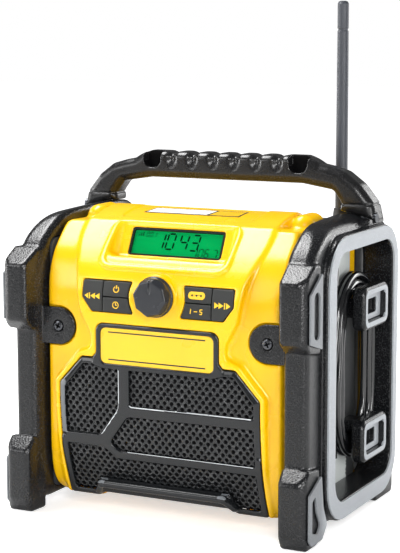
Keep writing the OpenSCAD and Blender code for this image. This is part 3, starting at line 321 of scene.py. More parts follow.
def mesh_object(name, verts, faces, mats=(), smooth=True, face_mats=None):
    """An object from points in millimetres and faces; quads may come as one array."""
    me = bpy.data.meshes.new(name)
    if isinstance(faces, np.ndarray):
        me.vertices.add(len(verts))
        me.vertices.foreach_set("co", (np.asarray(verts) * MM).astype(np.float32).ravel())
        k = faces.shape[1]
        me.loops.add(faces.size)
        me.loops.foreach_set("vertex_index", faces.astype(np.int32).ravel())
        me.polygons.add(len(faces))
        me.polygons.foreach_set("loop_start", np.arange(0, faces.size, k, dtype=np.int32))
        me.update(calc_edges=True)
    else:
        me.from_pydata([tuple(c * MM for c in v) for v in verts], [], [tuple(f) for f in faces])
        me.update()
    me.validate()
    if smooth:
        me.polygons.foreach_set("use_smooth", np.ones(len(me.polygons), bool))
    for m in mats:
        me.materials.append(m)
    if face_mats is not None:
        me.polygons.foreach_set("material_index", np.asarray(face_mats, np.int32))
    return linked(name, me)


def thinned(ob, keep):
    """The object with only a share of its faces kept, fewest where it is flat."""
    m = ob.modifiers.new("thin", "DECIMATE")
    m.ratio = keep
    with bpy.context.temp_override(object=ob, active_object=ob, selected_objects=[ob]):
        bpy.ops.object.modifier_apply(modifier=m.name)
    ob.data.polygons.foreach_set("use_smooth", np.ones(len(ob.data.polygons), bool))
    return ob


def skin(name, field, g, mat, thin=None, left=None):
    ob = mesh_object(name, *skin_data(field, g, left), [mat])
    return thinned(ob, thin) if thin else ob


def flipped(verts, quads):
    """A skin's points and faces mirrored to the other side."""
    return verts * (-1, 1, 1), quads[:, ::-1]


def face_outwards(ob, split=False):
    """Turn all faces outwards; with split=True, cut those of many corners into triangles first."""
    bm = bmesh.new()
    bm.from_mesh(ob.data)
    if split:
        bmesh.ops.triangulate(bm, faces=[f for f in bm.faces if len(f.verts) > 4])
    bmesh.ops.recalc_face_normals(bm, faces=bm.faces)
    bm.to_mesh(ob.data)
    bm.free()


def settle(ob, body, slot, *nodes):
    """Ride on a body and hide the CAD nodes that it stands for; slot is not used."""
    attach(ob, body)
    if nodes:
        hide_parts(*nodes)


def paint(ob, mat, test):
    """Give another material to the faces that pass the test of their middle, in millimetres, and normal."""
    me = ob.data
    mid = np.zeros(len(me.polygons) * 3, np.float32)
    me.polygons.foreach_get("center", mid)
    mid = mid.reshape(-1, 3) / MM
    turn = np.zeros(len(me.polygons) * 3, np.float32)
    me.polygons.foreach_get("normal", turn)
    turn = turn.reshape(-1, 3)
    index = np.zeros(len(me.polygons), np.int32)
    me.polygons.foreach_get("material_index", index)
    me.materials.append(mat)
    index[test(*mid.T, *turn.T)] = len(me.materials) - 1
    me.polygons.foreach_set("material_index", index)


# ---------------------------------------------------------------- materials
def linear(colour):
    """A colour of 0 to 255 as linear light."""
    return [c / 255 / 12.92 if c / 255 <= 0.04045 else ((c / 255 + 0.055) / 1.055) ** 2.4 for c in colour]


def scaled(colour, k, lift=0.0):
    return tuple(min(1, c * k + lift) for c in colour) + (1,)


class Nodes:
    """The shader nodes of a material or world; a node's inputs are values, or outputs to link."""

    def __init__(self, owner):
        owner.use_nodes = True
        self.all, self.links = owner.node_tree.nodes, owner.node_tree.links

    def fill(self, node, inputs):
        for key, value in inputs.items():
            if isinstance(value, bpy.types.NodeSocket):
                self.links.new(value, node.inputs[key])
            else:
                node.inputs[key].default_value = value
        return node

    def new(self, kind, inputs=None, **values):
        node = self.all.new("ShaderNode" + kind)
        for key, value in values.items():
            setattr(node, key, value)
        return self.fill(node, inputs or {})

    def place(self):
        return self.new("TexCoord").outputs["Object"]

    def noise(self, scale, detail):
        return self.new("TexNoise", {"Vector": self.place(), "Scale": scale, "Detail": detail}).outputs["Fac"]

    def ranged(self, source, low, high, to_low, to_high):
        return self.new("MapRange", {0: source, 1: low, 2: high, 3: to_low, 4: to_high}).outputs[0]

    def mixed(self, share, a, b):
        return self.new("Mix", {0: share, 6: a, 7: b}, data_type="RGBA").outputs[2]


def material(name, colour, rough=0.45, vary=0.1, vary_scale=60, grain=0.0, grain_scale=1400,
             painted_glint=0.0, painted_glint_scale=900, metal=0.0, coat=0.0, spec=0.5, depth=0.0004, alpha=1.0):
    """Moulded plastic, rubber or metal: broad colour variation, fine lighter flecks painted as glints, a
    grained surface.
    """
    colour = linear(colour)
    m = bpy.data.materials.new(name)
    n = Nodes(m)
    surface = n.all["Principled BSDF"]
    n.fill(surface, {"Metallic": metal, "Coat Weight": coat, "Coat Roughness": 0.15,
                     "Specular IOR Level": spec, "Alpha": alpha})
    broad = n.noise(vary_scale, 3)
    out = n.mixed(broad, scaled(colour, 1 - vary), scaled(colour, 1 + vary))
    # painted glints: lighter flecks at random, for the glints of the grained surface
    if painted_glint:
        share = n.ranged(n.noise(painted_glint_scale, 2), 0.54, 0.68, 0, painted_glint)
        out = n.mixed(share, out, scaled(colour, 2, 0.2))
    gloss = n.ranged(broad, 0, 1, max(0.03, rough - 0.07), min(1, rough + 0.07))
    n.fill(surface, {"Base Color": out, "Roughness": gloss})
    if grain:
        bump = n.new("Bump", {"Strength": grain, "Distance": depth, "Height": n.noise(grain_scale, 1.5)})
        n.fill(surface, {"Normal": bump.outputs["Normal"]})
    return m


def paint_shade_ahead(mat, y0, y1, share, towards):
    """Painted shade: mix a darker colour into a material in front of the depth y0, in metres, fading out by
    y1.
    """
    n = Nodes(mat)
    base = n.all["Principled BSDF"].inputs["Base Color"]
    depth = n.new("SeparateXYZ", {0: n.place()}).outputs[1]
    mix = n.mixed(n.ranged(depth, y0, y1, share, 0), base.links[0].from_socket, towards)
    n.links.new(mix, base)


YELLOW = material("yellow_shell", (254, 196, 3), 0.26, 0.03, 30, grain=0.03, grain_scale=1600, spec=0.55)
SLATE = material("cage_black", (20, 21, 23), 0.24, 0.10, 40, grain=0.8, grain_scale=680,
                 painted_glint=0.12, painted_glint_scale=800, depth=0.0003, spec=0.45)
HANDLE = material("handle_black", (21, 21, 22), 0.27, 0.10, 40, grain=0.3, grain_scale=1150,
                  painted_glint=0.08, painted_glint_scale=1100, depth=0.00025, spec=0.5)
# painted sheen: a pale grey put on the cage's rings, lug patches and cleat rings for the light that glances
# off their outer sides
SIDE_SHEEN = material("pale_trim", (164, 168, 173), 0.5, 0.06, 60, grain=0.5, grain_scale=1700,
                painted_glint=0.25, painted_glint_scale=1500)
paint_shade_ahead(SIDE_SHEEN, -0.074, -0.064, 0.5, (0.04, 0.042, 0.045, 1))     # painted shade: the pale sheen darkened on the lugs' faces, in front
PANEL = material("panel_grey", (60, 63, 66), 0.5, 0.08, 40, grain=0.4)
# painted sheen: a pale copy of panel_grey for the right panel, which the light from the right falls on
PANEL_SHEEN = material("panel_painted_sheen", (196, 201, 199), 0.5, 0.05, 40, grain=0.2)
# the black shell's colour, also put on the right panel as painted shade
SHELL_AND_SHADE = material("black_shell", (40, 42, 43), 0.5, 0.1, 40, grain=0.4, painted_glint=0.06)
GRILLE = material("grille_black", (26, 28, 30), 0.2, 0.06, 50, grain=0.06)
# painted highlight: near white for the grille's edge lines that catch the light
GRILLE_HIGHLIGHT = material("grille_painted_highlight", (205, 209, 212), 0.3, 0.06, 50, grain=0.1)
# painted highlight, dimmer: grey for the grille's left rim and the lip's ends where they catch the light
GRILLE_DIM_HIGHLIGHT = material("grille_dim_painted_highlight", (104, 108, 112), 0.3, 0.06, 50, grain=0.1)
MESH = material("grille_plate", (24, 26, 28), 0.2, 0.08, 50, grain=0.6, grain_scale=700, painted_glint=0.4,
                painted_glint_scale=600, depth=0.0003)
# painted shade: near black for holes, recesses and the grille's seat, where the light does not reach
PAINTED_SHADE = material("painted_shade_black", (6, 6, 7), 0.8, 0.1, 50, spec=0.1)
KEY = material("key_grey", (50, 51, 50), 0.5, 0.06, 50, grain=0.1, spec=0.3)
KNOB = material("knob_grey", (40, 42, 46), 0.26, 0.05, 50, grain=0.06)
BADGE = material("badge_yellow", (246, 197, 26), 0.3, 0.04, 30, coat=0.4)
PRINT = material("label_print", (250, 200, 40), 0.5, 0.04, 60)
PRINT_DARK = material("print_dark", (30, 30, 32), 0.5, 0.06, 60)
LABEL_WHITE = material("label_white", (236, 236, 232), 0.4, 0.03, 60)
LCD = material("lcd_green", (0, 164, 84), 0.6, 0.04, 40, spec=0.0)
DIGIT = material("lcd_digits", (0, 46, 26), 0.6, 0.05, 60, spec=0.0)
GASKET = material("lcd_border", (13, 14, 15), 0.5, 0.08, 50, spec=0.3)
GLASS = material("lens_clear", (30, 60, 40), 0.06, 0.03, 40, spec=0.3, alpha=0.06)
BOARD = material("board_green", (20, 90, 50), 0.4, 0.12, 80)
STEEL = material("steel", (176, 178, 182), 0.3, 0.08, 200, metal=1.0, grain=0.1)
SCREW = material("screw_black", (92, 94, 98), 0.25, 0.1, 200, metal=1.0, grain=0.1)
BRASS = material("brass_pins", (200, 170, 90), 0.3, 0.08, 200, metal=1.0)
PART = material("part_black", (30, 31, 33), 0.5, 0.1, 60, grain=0.3)
CONE = material("cone_black", (24, 24, 25), 0.8, 0.1, 200, grain=0.6)
MAGNET = material("magnet_iron", (96, 98, 102), 0.45, 0.12, 120, metal=0.8, grain=0.3)
ALU = material("aluminium", (180, 183, 186), 0.35, 0.08, 150, metal=1.0, grain=0.2)
SEAL = material("seal_rubber", (28, 28, 29), 0.7, 0.1, 80, grain=0.3)
CORD = material("lead_rubber", (17, 18, 20), 0.15, 0.1, 60, grain=0.04, spec=0.9)
MAST = material("antenna_rubber", (62, 65, 72), 0.45, 0.06, 60, grain=0.2)


# ---------------------------------------------------------------- mains lead
CORD_D = 6.4
LEAD_X, LEAD_Y = 119.9, -10.8
WIND_Y, WIND_Z = (2.2, 85.7), (43.2, 206.8)
TURNS, TURN_STEPS = 5, 30


def lead_points():
    """One smooth way: gland, five turns round the cleats' stems in two layers, plug."""
    r = CORD_D / 2
    inner, outer = LEAD_X - 3.3, LEAD_X + 3.3
    pts = [(LEAD_X, LEAD_Y, 182), (LEAD_X, LEAD_Y, 174), (LEAD_X - 0.6, LEAD_Y + 0.6, 166),
           (LEAD_X - 2, LEAD_Y + 3, 155), (inner, LEAD_Y + 8, 142), (inner, LEAD_Y + 13, 130)]
    # inset of each turn from the winding's outer edge, and its place across the winding
    lanes = [(r - 0.4, inner), (r + 6.1, inner), (r + 11.8, LEAD_X), (r + 6.1, outer), (r - 0.4, outer),
             (r - 6.9, outer)]
    cy, cz = sum(WIND_Y) / 2, sum(WIND_Z) / 2
    hy, hz = (WIND_Y[1] - WIND_Y[0]) / 2, (WIND_Z[1] - WIND_Z[0]) / 2
    per = TURN_STEPS
    for k in range(TURNS * per - 3):
        i = k // per
        a, b = lanes[i], lanes[i + 1]
        w = min(1, max(0, (k / per - i - 0.7) / 0.3))
        w = w * w * (3 - 2 * w)
        across = max(0, 2 * w - 1) if i == 1 else min(1, 2 * w) if i == 2 else w
        ay = hy - (a[0] + (b[0] - a[0]) * w)
        rise = hz - hy
        # limbs joined by half circles, from the middle of the front limb downwards
        s = ((k / per) % 1 * (4 * rise + 2 * math.pi * ay) + rise * 1.2) % (4 * rise + 2 * math.pi * ay)
        if s < 2 * rise:
            y, z = -ay, rise - s
        elif s < 2 * rise + math.pi * ay:
            t = (s - 2 * rise) / ay
            y, z = -ay * math.cos(t), -rise - ay * math.sin(t)
        elif s < 4 * rise + math.pi * ay:
            y, z = ay, s - 3 * rise - math.pi * ay
        else:
            t = (s - 4 * rise - math.pi * ay) / ay
            y, z = ay * math.cos(t), rise + ay * math.sin(t)
        # the limbs bow a little between the cleats
        bow = 1.6 * max(0, 1 - (z / rise) ** 2) * (1 if i in (2, 4) else -1) if abs(z) < rise else 0
        pts.append((a[1] + (b[1] - a[1]) * across, cy + y + bow * (1 if y > 0 else -1), cz + z))
    pts += [(outer, LEAD_Y + 10, 152), (outer, LEAD_Y + 7, 139), (outer - 0.8, LEAD_Y + 4, 124),
            (LEAD_X + 0.8, LEAD_Y + 1, 108), (LEAD_X, LEAD_Y, 94), (LEAD_X, LEAD_Y, 80)]
    return pts


def smooth_route(pts, step=4.0, rounds=12):
    """The route resampled evenly and relaxed, its two ends kept."""
    p = np.array(pts, float)
    for _ in range(3):
        d = np.r_[0, np.cumsum(np.linalg.norm(np.diff(p, axis=0), axis=1))]
        n = int(d[-1] / step)
        s = np.linspace(0, d[-1], n + 1)
        p = np.stack([np.interp(s, d, p[:, i]) for i in range(3)], 1)
        for _ in range(rounds // 3):
            p[2:-2] = p[2:-2] * 0.5 + (p[1:-3] + p[3:-1]) * 0.25
    return p


def curve_object(name, pts, radius, mat):
    cu = bpy.data.curves.new(name, "CURVE")
    cu.dimensions = "3D"
    cu.bevel_depth, cu.bevel_resolution, cu.resolution_u = radius * MM, 5, 2
    cu.use_fill_caps = True
    sp = cu.splines.new("POLY")
    sp.points.add(len(pts) - 1)
    for q, p in zip(sp.points, pts):
        q.co = (p[0] * MM, p[1] * MM, p[2] * MM, 1)
    sp.use_smooth = True
    cu.materials.append(mat)
    return linked(name, cu)


route = smooth_route(lead_points())
lead = curve_object("mains_cord", route, CORD_D / 2, CORD)
settle(lead, "radio", "lead_rubber", "mains_lead", "cord_winding", "plug_tail")


# ---------------------------------------------------------------- housing
BROW, CHIN = (Y_FACE + 43.5, CROWN_Z - 10.5), (Y_FACE + 19, BELLY_Z + 2)     # ends of the console's front
CONSOLE_SIDE = flowing([
    (Y_FACE + 150, BELLY_Z + 2), (Y_FACE + 150, DECK_Z + 1), (Y_FACE + 113, DECK_Z + 1, 12),
    (Y_FACE + 101, CROWN_Z - 1.5, 12), (Y_FACE + 89, CROWN_Z - 0.6, 30), (Y_FACE + 64, CROWN_Z - 4.6, 30),
    BROW + (7,), (Y_FACE + 9.5, CROWN_Z - 44, 12), (Y_FACE, CROWN_Z - 62, 26), (Y_FACE, 95, 70),
    (Y_FACE + 4.5, 55, 50), CHIN + (6,)], [BROW, CHIN])
FLANK_BROW, FLANK_CHIN = (Y_FACE + 43, DECK_Z + 4), (Y_FLANK + 21, BELLY_Z)
FLANK_SIDE = flowing([
    (Y_SPLIT + 20, BELLY_Z), (Y_SPLIT + 20, DECK_Z), (Y_SPLIT - 4, DECK_Z, 20), (Y_FACE + 92, DECK_Z + 3, 40),
    FLANK_BROW + (7,), (Y_FACE + 18, DECK_Z - 20, 34), (Y_FLANK, DECK_Z - 49, 40), (Y_FLANK - 1, 62, 70),
    (Y_FLANK + 7, 26, 28), FLANK_CHIN + (12,)], [FLANK_BROW, FLANK_CHIN])
CONSOLE_FRONT = mirrored([
    (GRILLE_HW + 4, BELLY_Z - 8, 0), (GRILLE_HW + 4, 117, 6), (GRILLE_HW - 18, 142, 6), (62, 147, 8),
    (62.5, 158, 12), (CONSOLE_HW - 5, 177, 24), (CONSOLE_HW, 206, 40), (CONSOLE_HW + 9.5, 238, 30),
    (CONSOLE_HW + 9.5, CROWN_Z + 6, 0)])
GRILLE_FRONT = mirrored([
    (GRILLE_HW, 14, 3), (GRILLE_HW, 115, 4), (GRILLE_HW - 22, 139, 4), (BEZEL_HW + 3.5, 139, 3),
    (BEZEL_HW, 143, 3), (BEZEL_HW, 168.5, 7)])
FIELD_FRONT = mirrored([
    (61, 32.5, 2), (67, 20, 3), (GRILLE_HW - 6, 20, 3), (GRILLE_HW - 6, 112, 3), (GRILLE_HW - 24, 133, 4),
    (BEZEL_HW + 4, 133, 4), (BEZEL_HW - 6, 130, 4)])


def face_y(z, d=0.0):
    """Front of the console's side outline, moved inwards by d, at the heights z."""
    pts = rounded(inset(CONSOLE_SIDE, d), 3)
    front = pts[int(np.argmin(np.hypot(*(pts - BROW).T))):]
    order = np.argsort(front[:, 1])
    return np.interp(z, front[order, 1], front[order, 0])


NOTCH = [(-71, 2), (71, 2), (66, 14, 4), (60, 18.5, 3), (-60, 18.5, 3), (-66, 14, 4)]


def display_axes(g):
    """Local coordinates of the display: up the slope and out of the face."""
    dy, dz = g.Y - DISPLAY_Y, g.Z - DISPLAY_Z
    up = dy * math.sin(TILT) + dz * math.cos(TILT)
    out = -dy * math.cos(TILT) + dz * math.sin(TILT)
    return up, out


def display_point(up, out):
    return (DISPLAY_Y + up * math.sin(TILT) - out * math.cos(TILT),
            DISPLAY_Z + up * math.cos(TILT) + out * math.sin(TILT))


KEY_LOW, KEY_MID, KEY_TOP, KEY_IN, KEY_SPLIT, KEY_OUT = 178.0, 190.8, 203.5, 22.6, 50.3, 69.4
KEY_CIRCLE_Z = 193.0                        # height of the circle that hollows the blocks by the knob


def key_block(g, grow):
    """Front view of the right block of keys, grown on all sides."""
    outline = [(KEY_IN - grow, KEY_LOW - grow, 1), (KEY_OUT - 9 + grow, KEY_LOW - grow, 1.5),
               (KEY_OUT + grow, KEY_LOW + 11.5, 2), (KEY_OUT + grow, KEY_TOP + grow, 1.5),
               (KEY_IN + 1.8 - grow, KEY_TOP + grow, 1)]
    ring = np.hypot(g.X, g.Z - KEY_CIRCLE_Z) - (KEY_IN + 3.8 - grow)
    return cut(g.along_y(outline, 10), ring, 0.6)


def tab_shape(g, grow):
    """Front view of a screw tab: a half disc that runs on into the frame."""
    return join(np.hypot(g.X - TAB_X, g.Z - TAB_Z) - TAB_R - grow,
                np.maximum(np.abs(g.Z - TAB_Z) - TAB_R - grow, TAB_X - g.X))


def build_housing():
    """The yellow shell: flanks, raised console and their details, then hollowed and cut open."""
    g = Grid((0, -91, 9), (112.5, Y_SPLIT + 1, 264), 1.0, half=True)
    console = g.along_x(CONSOLE_SIDE)
    front = g.along_y(box_corners(-SIDE_X, BELLY_Z, SIDE_X, DECK_Z + 8, 12))
    inner = CONSOLE_HW - 2
    plan = g.along_z([(-SIDE_X, Y_FLANK, 9), (-inner, Y_FLANK - 3.5, 12), (inner, Y_FLANK - 3.5, 12),
                      (SIDE_X, Y_FLANK, 9), (SIDE_X, 300), (-SIDE_X, 300)])
    flank = both(both(g.along_x(FLANK_SIDE), front, 3), plan, 3)
    raised = both(both(console, g.along_y(CONSOLE_FRONT), 2.6), slab(g.Y, Y_FACE - 5, Y_FACE + 120), 2)
    body = join(flank, raised, 3.5)
    # bumps on the deck, beside the console
    body = join(body, g.capsule((97, -8.5, 247.5), (97, 9.5, 247.5), 10.5), 3)
    # rim round the display pocket, in coordinates turned by 45 degrees
    ry, rz, c = g.Y - RIM_Y, g.Z - RIM_Z, math.sqrt(0.5)
    up45, out45 = ry * c + rz * c, -ry * c + rz * c
    rim = cut(rbox2(g.X, up45 + 0.75, 60.5, 25.75, 12), rbox2(g.X, up45 - 2.5, 55.5, 24.5, 8), 0.9)
    rim = both(rim, slab(out45, -6, 1.4), 1.2)
    body = join(body, rim, 1.0)
    # seat round the knob
    body = join(body, both(np.hypot(g.X, g.Z - KNOB_Z) - 18, slab(g.Y, Y_FACE, Y_FACE + 9), 0.6), 1.2)
    # field of the label
    field = both(-(console + 1.2), both(slab(g.X, -60, 60), slab(g.Y, Y_FACE + 54, Y_FACE + 96), 4), 0.8)
    body = cut(body, np.maximum(field, 225 - g.Z), 2.2)
    # seat of the grille
    seat = both(np.maximum(-(console + GRILLE_SEAT), g.Y - (Y_FACE + 60)), g.along_y(GRILLE_FRONT), 0.4)
    body = cut(body, seat, 1.0)
    # display pocket and window
    pocket_side = [display_point(*p) + (3.5,)
                   for p in ((-14.2, 0), (16.5, 0), (22, 40), (-30.2, 42), (-22.2, 20))]
    pocket = both(g.along_x(pocket_side), slab(g.X, -55.5, 55.5), 7)
    body = cut(body, pocket, 2.2)
    body = cut(body, both(g.along_y(NOTCH), g.Y + 38, 2), 1.5)
    # seats of the tabs
    body = cut(body, both(tab_shape(g, 0.8), slab(g.Y, -95, TAB_FACE + TAB_THICK + 0.2), 0.3), 1.2)
    # hollow inside, then the openings that go through the wall
    body = both(np.maximum(body, -(body + WALL)), g.Y - Y_SPLIT, 0)
    up, out = display_axes(g)
    body = cut(body, both(rbox2(g.X, up, 43.5, 12.5, 2.5), slab(out, -12, 10), 0), 0.4)
    body = cut(body, both(key_block(g, 0.6), slab(g.Y, -95, Y_FACE + 12), 0), 0.7)
    body = cut(body, g.rod_y(-95, Y_FACE + 12, 0, KNOB_Z, 4.5), 0.4)
    body = cut(body, g.rod_y(-95, Y_FACE + 16, SPEAKER_X, SPEAKER_Z, SPEAKER_R), 0.4)
    # the left wall alone has the opening of the storage compartment
    left = cut(body, g.box((105, -29.3, 65.8), (112, 61.1, 172.2)), 0)
    ob = skin("housing_shell", body, g, YELLOW, thin=0.4, left=left)
    # painted shade: the seat behind the grille is painted near black
    reach = GRILLE_HW + 0.3
    paint(ob, PAINTED_SHADE, lambda x, y, z, a, b, c: (np.abs(x) < reach) & (z > 13) & (z < 139.3)
          & (np.abs(x) + (z - 115) * 22 / 24 < reach) & (y > face_y(z) + 2.6) & (y < face_y(z) + 6.5))
    settle(ob, "radio", "yellow_shell", "front_housing")


# ---------------------------------------------------------------- cage frames
WINDOW = box_corners(-44.2, 23.7, 88.2, 231.5, 20)
RING = [(Y_RING - 157.9, RING_LOW, 34), (Y_RING, RING_LOW, 34), (Y_RING, RING_TOP, 34),
        (Y_RING - 157.9, RING_TOP, 38)]
FRAME_SIDE = flowing([
    (Y_BAR, RING_LOW + 4, 8), (Y_BAR + 22, RING_LOW, 14), (Y_RING, RING_LOW, 22), (Y_RING, CAGE_TOP - 4, 36),
    (Y_BAR + 118, CAGE_TOP, 60), (Y_BAR + 48, CAGE_TOP - 3.5, 30), (Y_BAR + 14, CAGE_TOP - 25, 26),
    (Y_BAR, CAGE_TOP - 52, 20)], [(Y_BAR, RING_LOW + 4), (Y_BAR + 22, RING_LOW), (Y_RING, RING_LOW)], 40)
FRAME_FRONT = flowing([
    (FRAME_X, 0), (BAR_X - 3, 0), (BAR_X, 6), (BAR_X, CAGE_TOP - 12, 4), (BAR_X - 9.5, CAGE_TOP + 0.2, 6),
    (FRAME_X, CAGE_TOP + 0.2)], [(FRAME_X, 0), (BAR_X - 3, 0), (BAR_X, 6), (FRAME_X, CAGE_TOP + 0.2)], 60)
FRAME_PLAN = [(FRAME_X, Y_FLANK + 6), (FRAME_X + 1.2, Y_FLANK - 1, 2), (FRAME_X + 7, Y_BAR, 3),
              (BAR_X - 3, Y_BAR, 5), (BAR_X, Y_BAR + 9, 6), (BAR_X, Y_REAR + 1), (FRAME_X, Y_REAR + 1)]
LUG_PLAN = [(FRAME_X + 3.4, Y_BAR + 14), (FRAME_X + 5.4, Y_FRONT + 4, 3), (FRAME_X + 8, Y_FRONT, 3),
            (SEAT_X - 6.5, Y_FRONT, 7), (SEAT_X, Y_FRONT + 7.5, 7), (SEAT_X, Y_FRONT + 32, 2),
            (BAR_X - 1, Y_FRONT + 37)]
UPPER_LUG = [(Y_FRONT, 168, 3), (Y_BAR, 158.5, 2), (Y_BAR + 30, 154), (Y_BAR + 30, CAGE_TOP - 32),
             (Y_BAR + 10, CAGE_TOP - 31, 6), (Y_FRONT, CAGE_TOP - 44, 4)]
FRONT_FOOT = [(Y_FRONT, 13, 6), (Y_FRONT + 8, 0, 3), (Y_FRONT + 29, 0, 10), (Y_FRONT + 50, RING_LOW + 0.5),
              (Y_FRONT + 50, 30), (Y_BAR + 24, 62), (Y_BAR, 65, 2), (Y_FRONT, 54, 3)]
REAR_FOOT = [(Y_RING - 40, RING_LOW, 0), (Y_RING - 34, 0, 4), (Y_REAR - 2, 0, 4), (Y_REAR, 5, 3),
             (Y_REAR, 44, 3), (Y_RING, 54, 2), (Y_RING - 40, 54)]


def frame_block(g, grow):
    a = both(g.along_x(inset(FRAME_SIDE, -grow)), g.along_y(inset(FRAME_FRONT, -grow)), 8.0)
    return both(a, g.along_z(inset(FRAME_PLAN, -grow)), 4.0)


def build_frames():
    """Roll-cage sides: bars, the seat of the ring that is painted pale as a sheen, lugs, feet and the tabs of
    the screws.
    """
    g = Grid((79, -107, -2), (143, 107, 262), 1.0)
    body = frame_block(g, 0)
    body = join(body, both(g.along_x(RING), slab(g.X, BAR_X - 6, SEAT_X), 1.0), 1.5)
    lugs = np.minimum(g.along_x(UPPER_LUG), g.along_x(FRONT_FOOT))
    lugs = both(both(lugs, slab(g.X, FRAME_X, SEAT_X), 2.4), g.along_z(LUG_PLAN), 3.0)
    body = join(body, lugs, 2.0)
    body = join(body, both(g.along_x(REAR_FOOT), slab(g.X, FRAME_X + 4, BAR_X), 2.0), 1.5)
    tab = both(tab_shape(g, 0), g.X - SIDE_X - 5, 0)
    body = join(body, both(tab, slab(g.Y, TAB_FACE, TAB_FACE + TAB_THICK), 0.8), 1.0)
    body = cut(body, g.along_x(WINDOW), 1.6)
    panel = both(g.along_x(inset(box_corners(Y_FLANK + 12, 16, Y_COVER - 26, 233.5, 8), -0.4)),
                 slab(g.X, FRAME_X - 3, PANEL_X + 0.1), 0)
    body = cut(body, panel, 0.3)
    body = cut(body, g.rod_y(TAB_FACE - 3, TAB_FACE + 1.6, TAB_X, TAB_Z, 5), 0.5)
    right = skin_data(body, g)
    for side, data in (("right", right), ("left", flipped(*right))):
        ob = thinned(mesh_object(side + "_cage_frame", *data, [SLATE]), 0.4)
        settle(ob, "radio", "cage_black", side + "_side_frame")


def build_cleats():
    """The two cleats that the lead is wound on, with their rings painted pale grey as a painted sheen of the
    side light.
    """
    cy, hw, hh = 47.16, 28.47, 18.5
    for name, cz, (z0, z1) in (("lower", 62.5, (67, 77)), ("upper", 176.5, (166, 183))):
        g = Grid((112, 17, cz - 21), (142.5, 77, cz + 21), 0.6)
        y, z = g.Y - cy, g.Z - cz
        block = both(rbox2(y, z, hw, hh, 8), slab(g.X, 129, 141.2), 3.4)
        stem = both(rbox2(y, g.Z - (z0 + z1) / 2, 13.24, (z1 - z0) / 2, 4.5), slab(g.X, PANEL_X, 131), 0)
        body = join(block, stem, 2.0)
        body = cut(body, both(rbox2(y, z, hw - 7, hh - 7, 3), 135 - g.X, 0), 0.8)
        body = cut(body, both(rbox2(y, z, 12, 6.5, 2), 131 - g.X, 0), 0.6)
        ob = skin(name + "_cleat", body, g, SLATE, thin=0.5)
        settle(ob, "radio", "cage_black", name + "_cord_cleat")
        # painted sheen: the rings and the floor inside them are painted pale grey
        rings = both(cut(rbox2(y, z, hw - 2.6, hh - 2.6, 6.5), rbox2(y, z, hw - 6.8, hh - 6.8, 4.2), 0.5),
                     slab(g.X, 139.2, OUTER_X), 0.5)
        floor = both(cut(rbox2(y, z, hw - 7.3, hh - 7.3, 2.5), rbox2(y, z, 12, 6.5, 2), 0.3),
                     slab(g.X, 135, 136.2), 0.3)
        ob = skin(name + "_cleat_rings", np.minimum(rings, floor), g, SIDE_SHEEN)
        settle(ob, "radio", "pale_trim", "cleat_trim")


def build_gland():
    """Cable entry: a block on the panel and a tapered, ribbed sleeve round the lead."""
    g = Grid((112, -20, 176), (128.5, -1, 217.5), 0.5)
    rad = np.hypot(g.X - LEAD_X, g.Y - LEAD_Y)
    block = both(rbox2(g.Y - LEAD_Y, g.Z - 207, 7.5, 9, 2.5), slab(g.X, PANEL_X, LEAD_X + 7), 1.8)
    taper = 4.2 + 1.8 * np.clip((g.Z - 178) / 22, 0, 1)
    ribs = 0.7 * np.clip(np.cos((g.Z - 178) * 2 * np.pi / 4.4) * 3, -1, 1) * (g.Z > 181)
    sleeve = both(rad - taper + 0.35 - ribs * 0.5, slab(g.Z, 178, 203), 0.6)
    ob = skin("lead_entry", join(block, sleeve, 1.0), g, CORD, thin=0.5)
    settle(ob, "radio", "lead_rubber", "cord_gland")


def build_tab_screws():
    """Pan heads with a cross recess, in the seats of the tabs."""
    tx, tz, tf = TAB_X, TAB_Z, TAB_FACE
    g = Grid((tx - 5, tf - 1.5, tz - 5), (tx + 5, tf + 9, tz + 5), 0.25)
    u, v = g.X - tx, g.Z - tz
    rad = np.hypot(u, v)
    head_r, shank_r, turn = 4.2, 1.55, math.radians(25)
    head = both(rad - head_r, slab(g.Y, tf - 0.8 + 0.7 * (rad / head_r) ** 2, tf + 1.6), 0.3)
    a = np.abs(u * math.cos(turn) + v * math.sin(turn))
    b = np.abs(v * math.cos(turn) - u * math.sin(turn))
    cross = np.minimum(np.maximum(a - 0.65, b - 2.7), np.maximum(b - 0.65, a - 2.7))
    body = cut(head, both(cross, g.Y - tf - 1.0, 0), 0.2)
    body = join(body, both(rad - shank_r, slab(g.Y, tf + 1, tf + 8), 0), 0)
    right = skin_data(body, g)
    for side, data in (("right", right), ("left", flipped(*right))):
        ob = mesh_object(side + "_tab_screw", *data, [SCREW])
        # painted shade: the cross recess is painted near black
        paint(ob, PAINTED_SHADE, lambda x, y, z, n, m, c: (y > tf + 0.7) & (m < -0.5)
              & (np.hypot(np.abs(x) - tx, z - tz) < 3))
        settle(ob, "radio", "steel", "tab_screws")


def build_right_panel():
    """The plate that closes the right cage window behind the lead."""
    g = Grid((109.5, -69, 15), (114, 70, 235), 0.6)
    area = np.minimum(rbox2(g.Y + 6.5, g.Z - 124.75, 61.5, 108.75, 8),
                      rbox2(g.Y - 8, g.Z - 100.5, 60, 84.5, 4))
    body = both(area, slab(g.X, FRAME_X, PANEL_X), 0.6)
    # painted sheen: the right panel is given the pale copy of the panel's grey
    ob = skin("right_panel", body, g, PANEL_SHEEN, thin=0.1)
    # painted shade: the panel behind the wound lead and towards its back is given the black shell's colour
    paint(ob, SHELL_AND_SHADE, lambda x, y, z, a, b, c: ((y > 14) & (z > 52) & (z < 187)) | ((y > 50) & (z < 187)))
    settle(ob, "radio", "panel_grey", "right_side_panel")


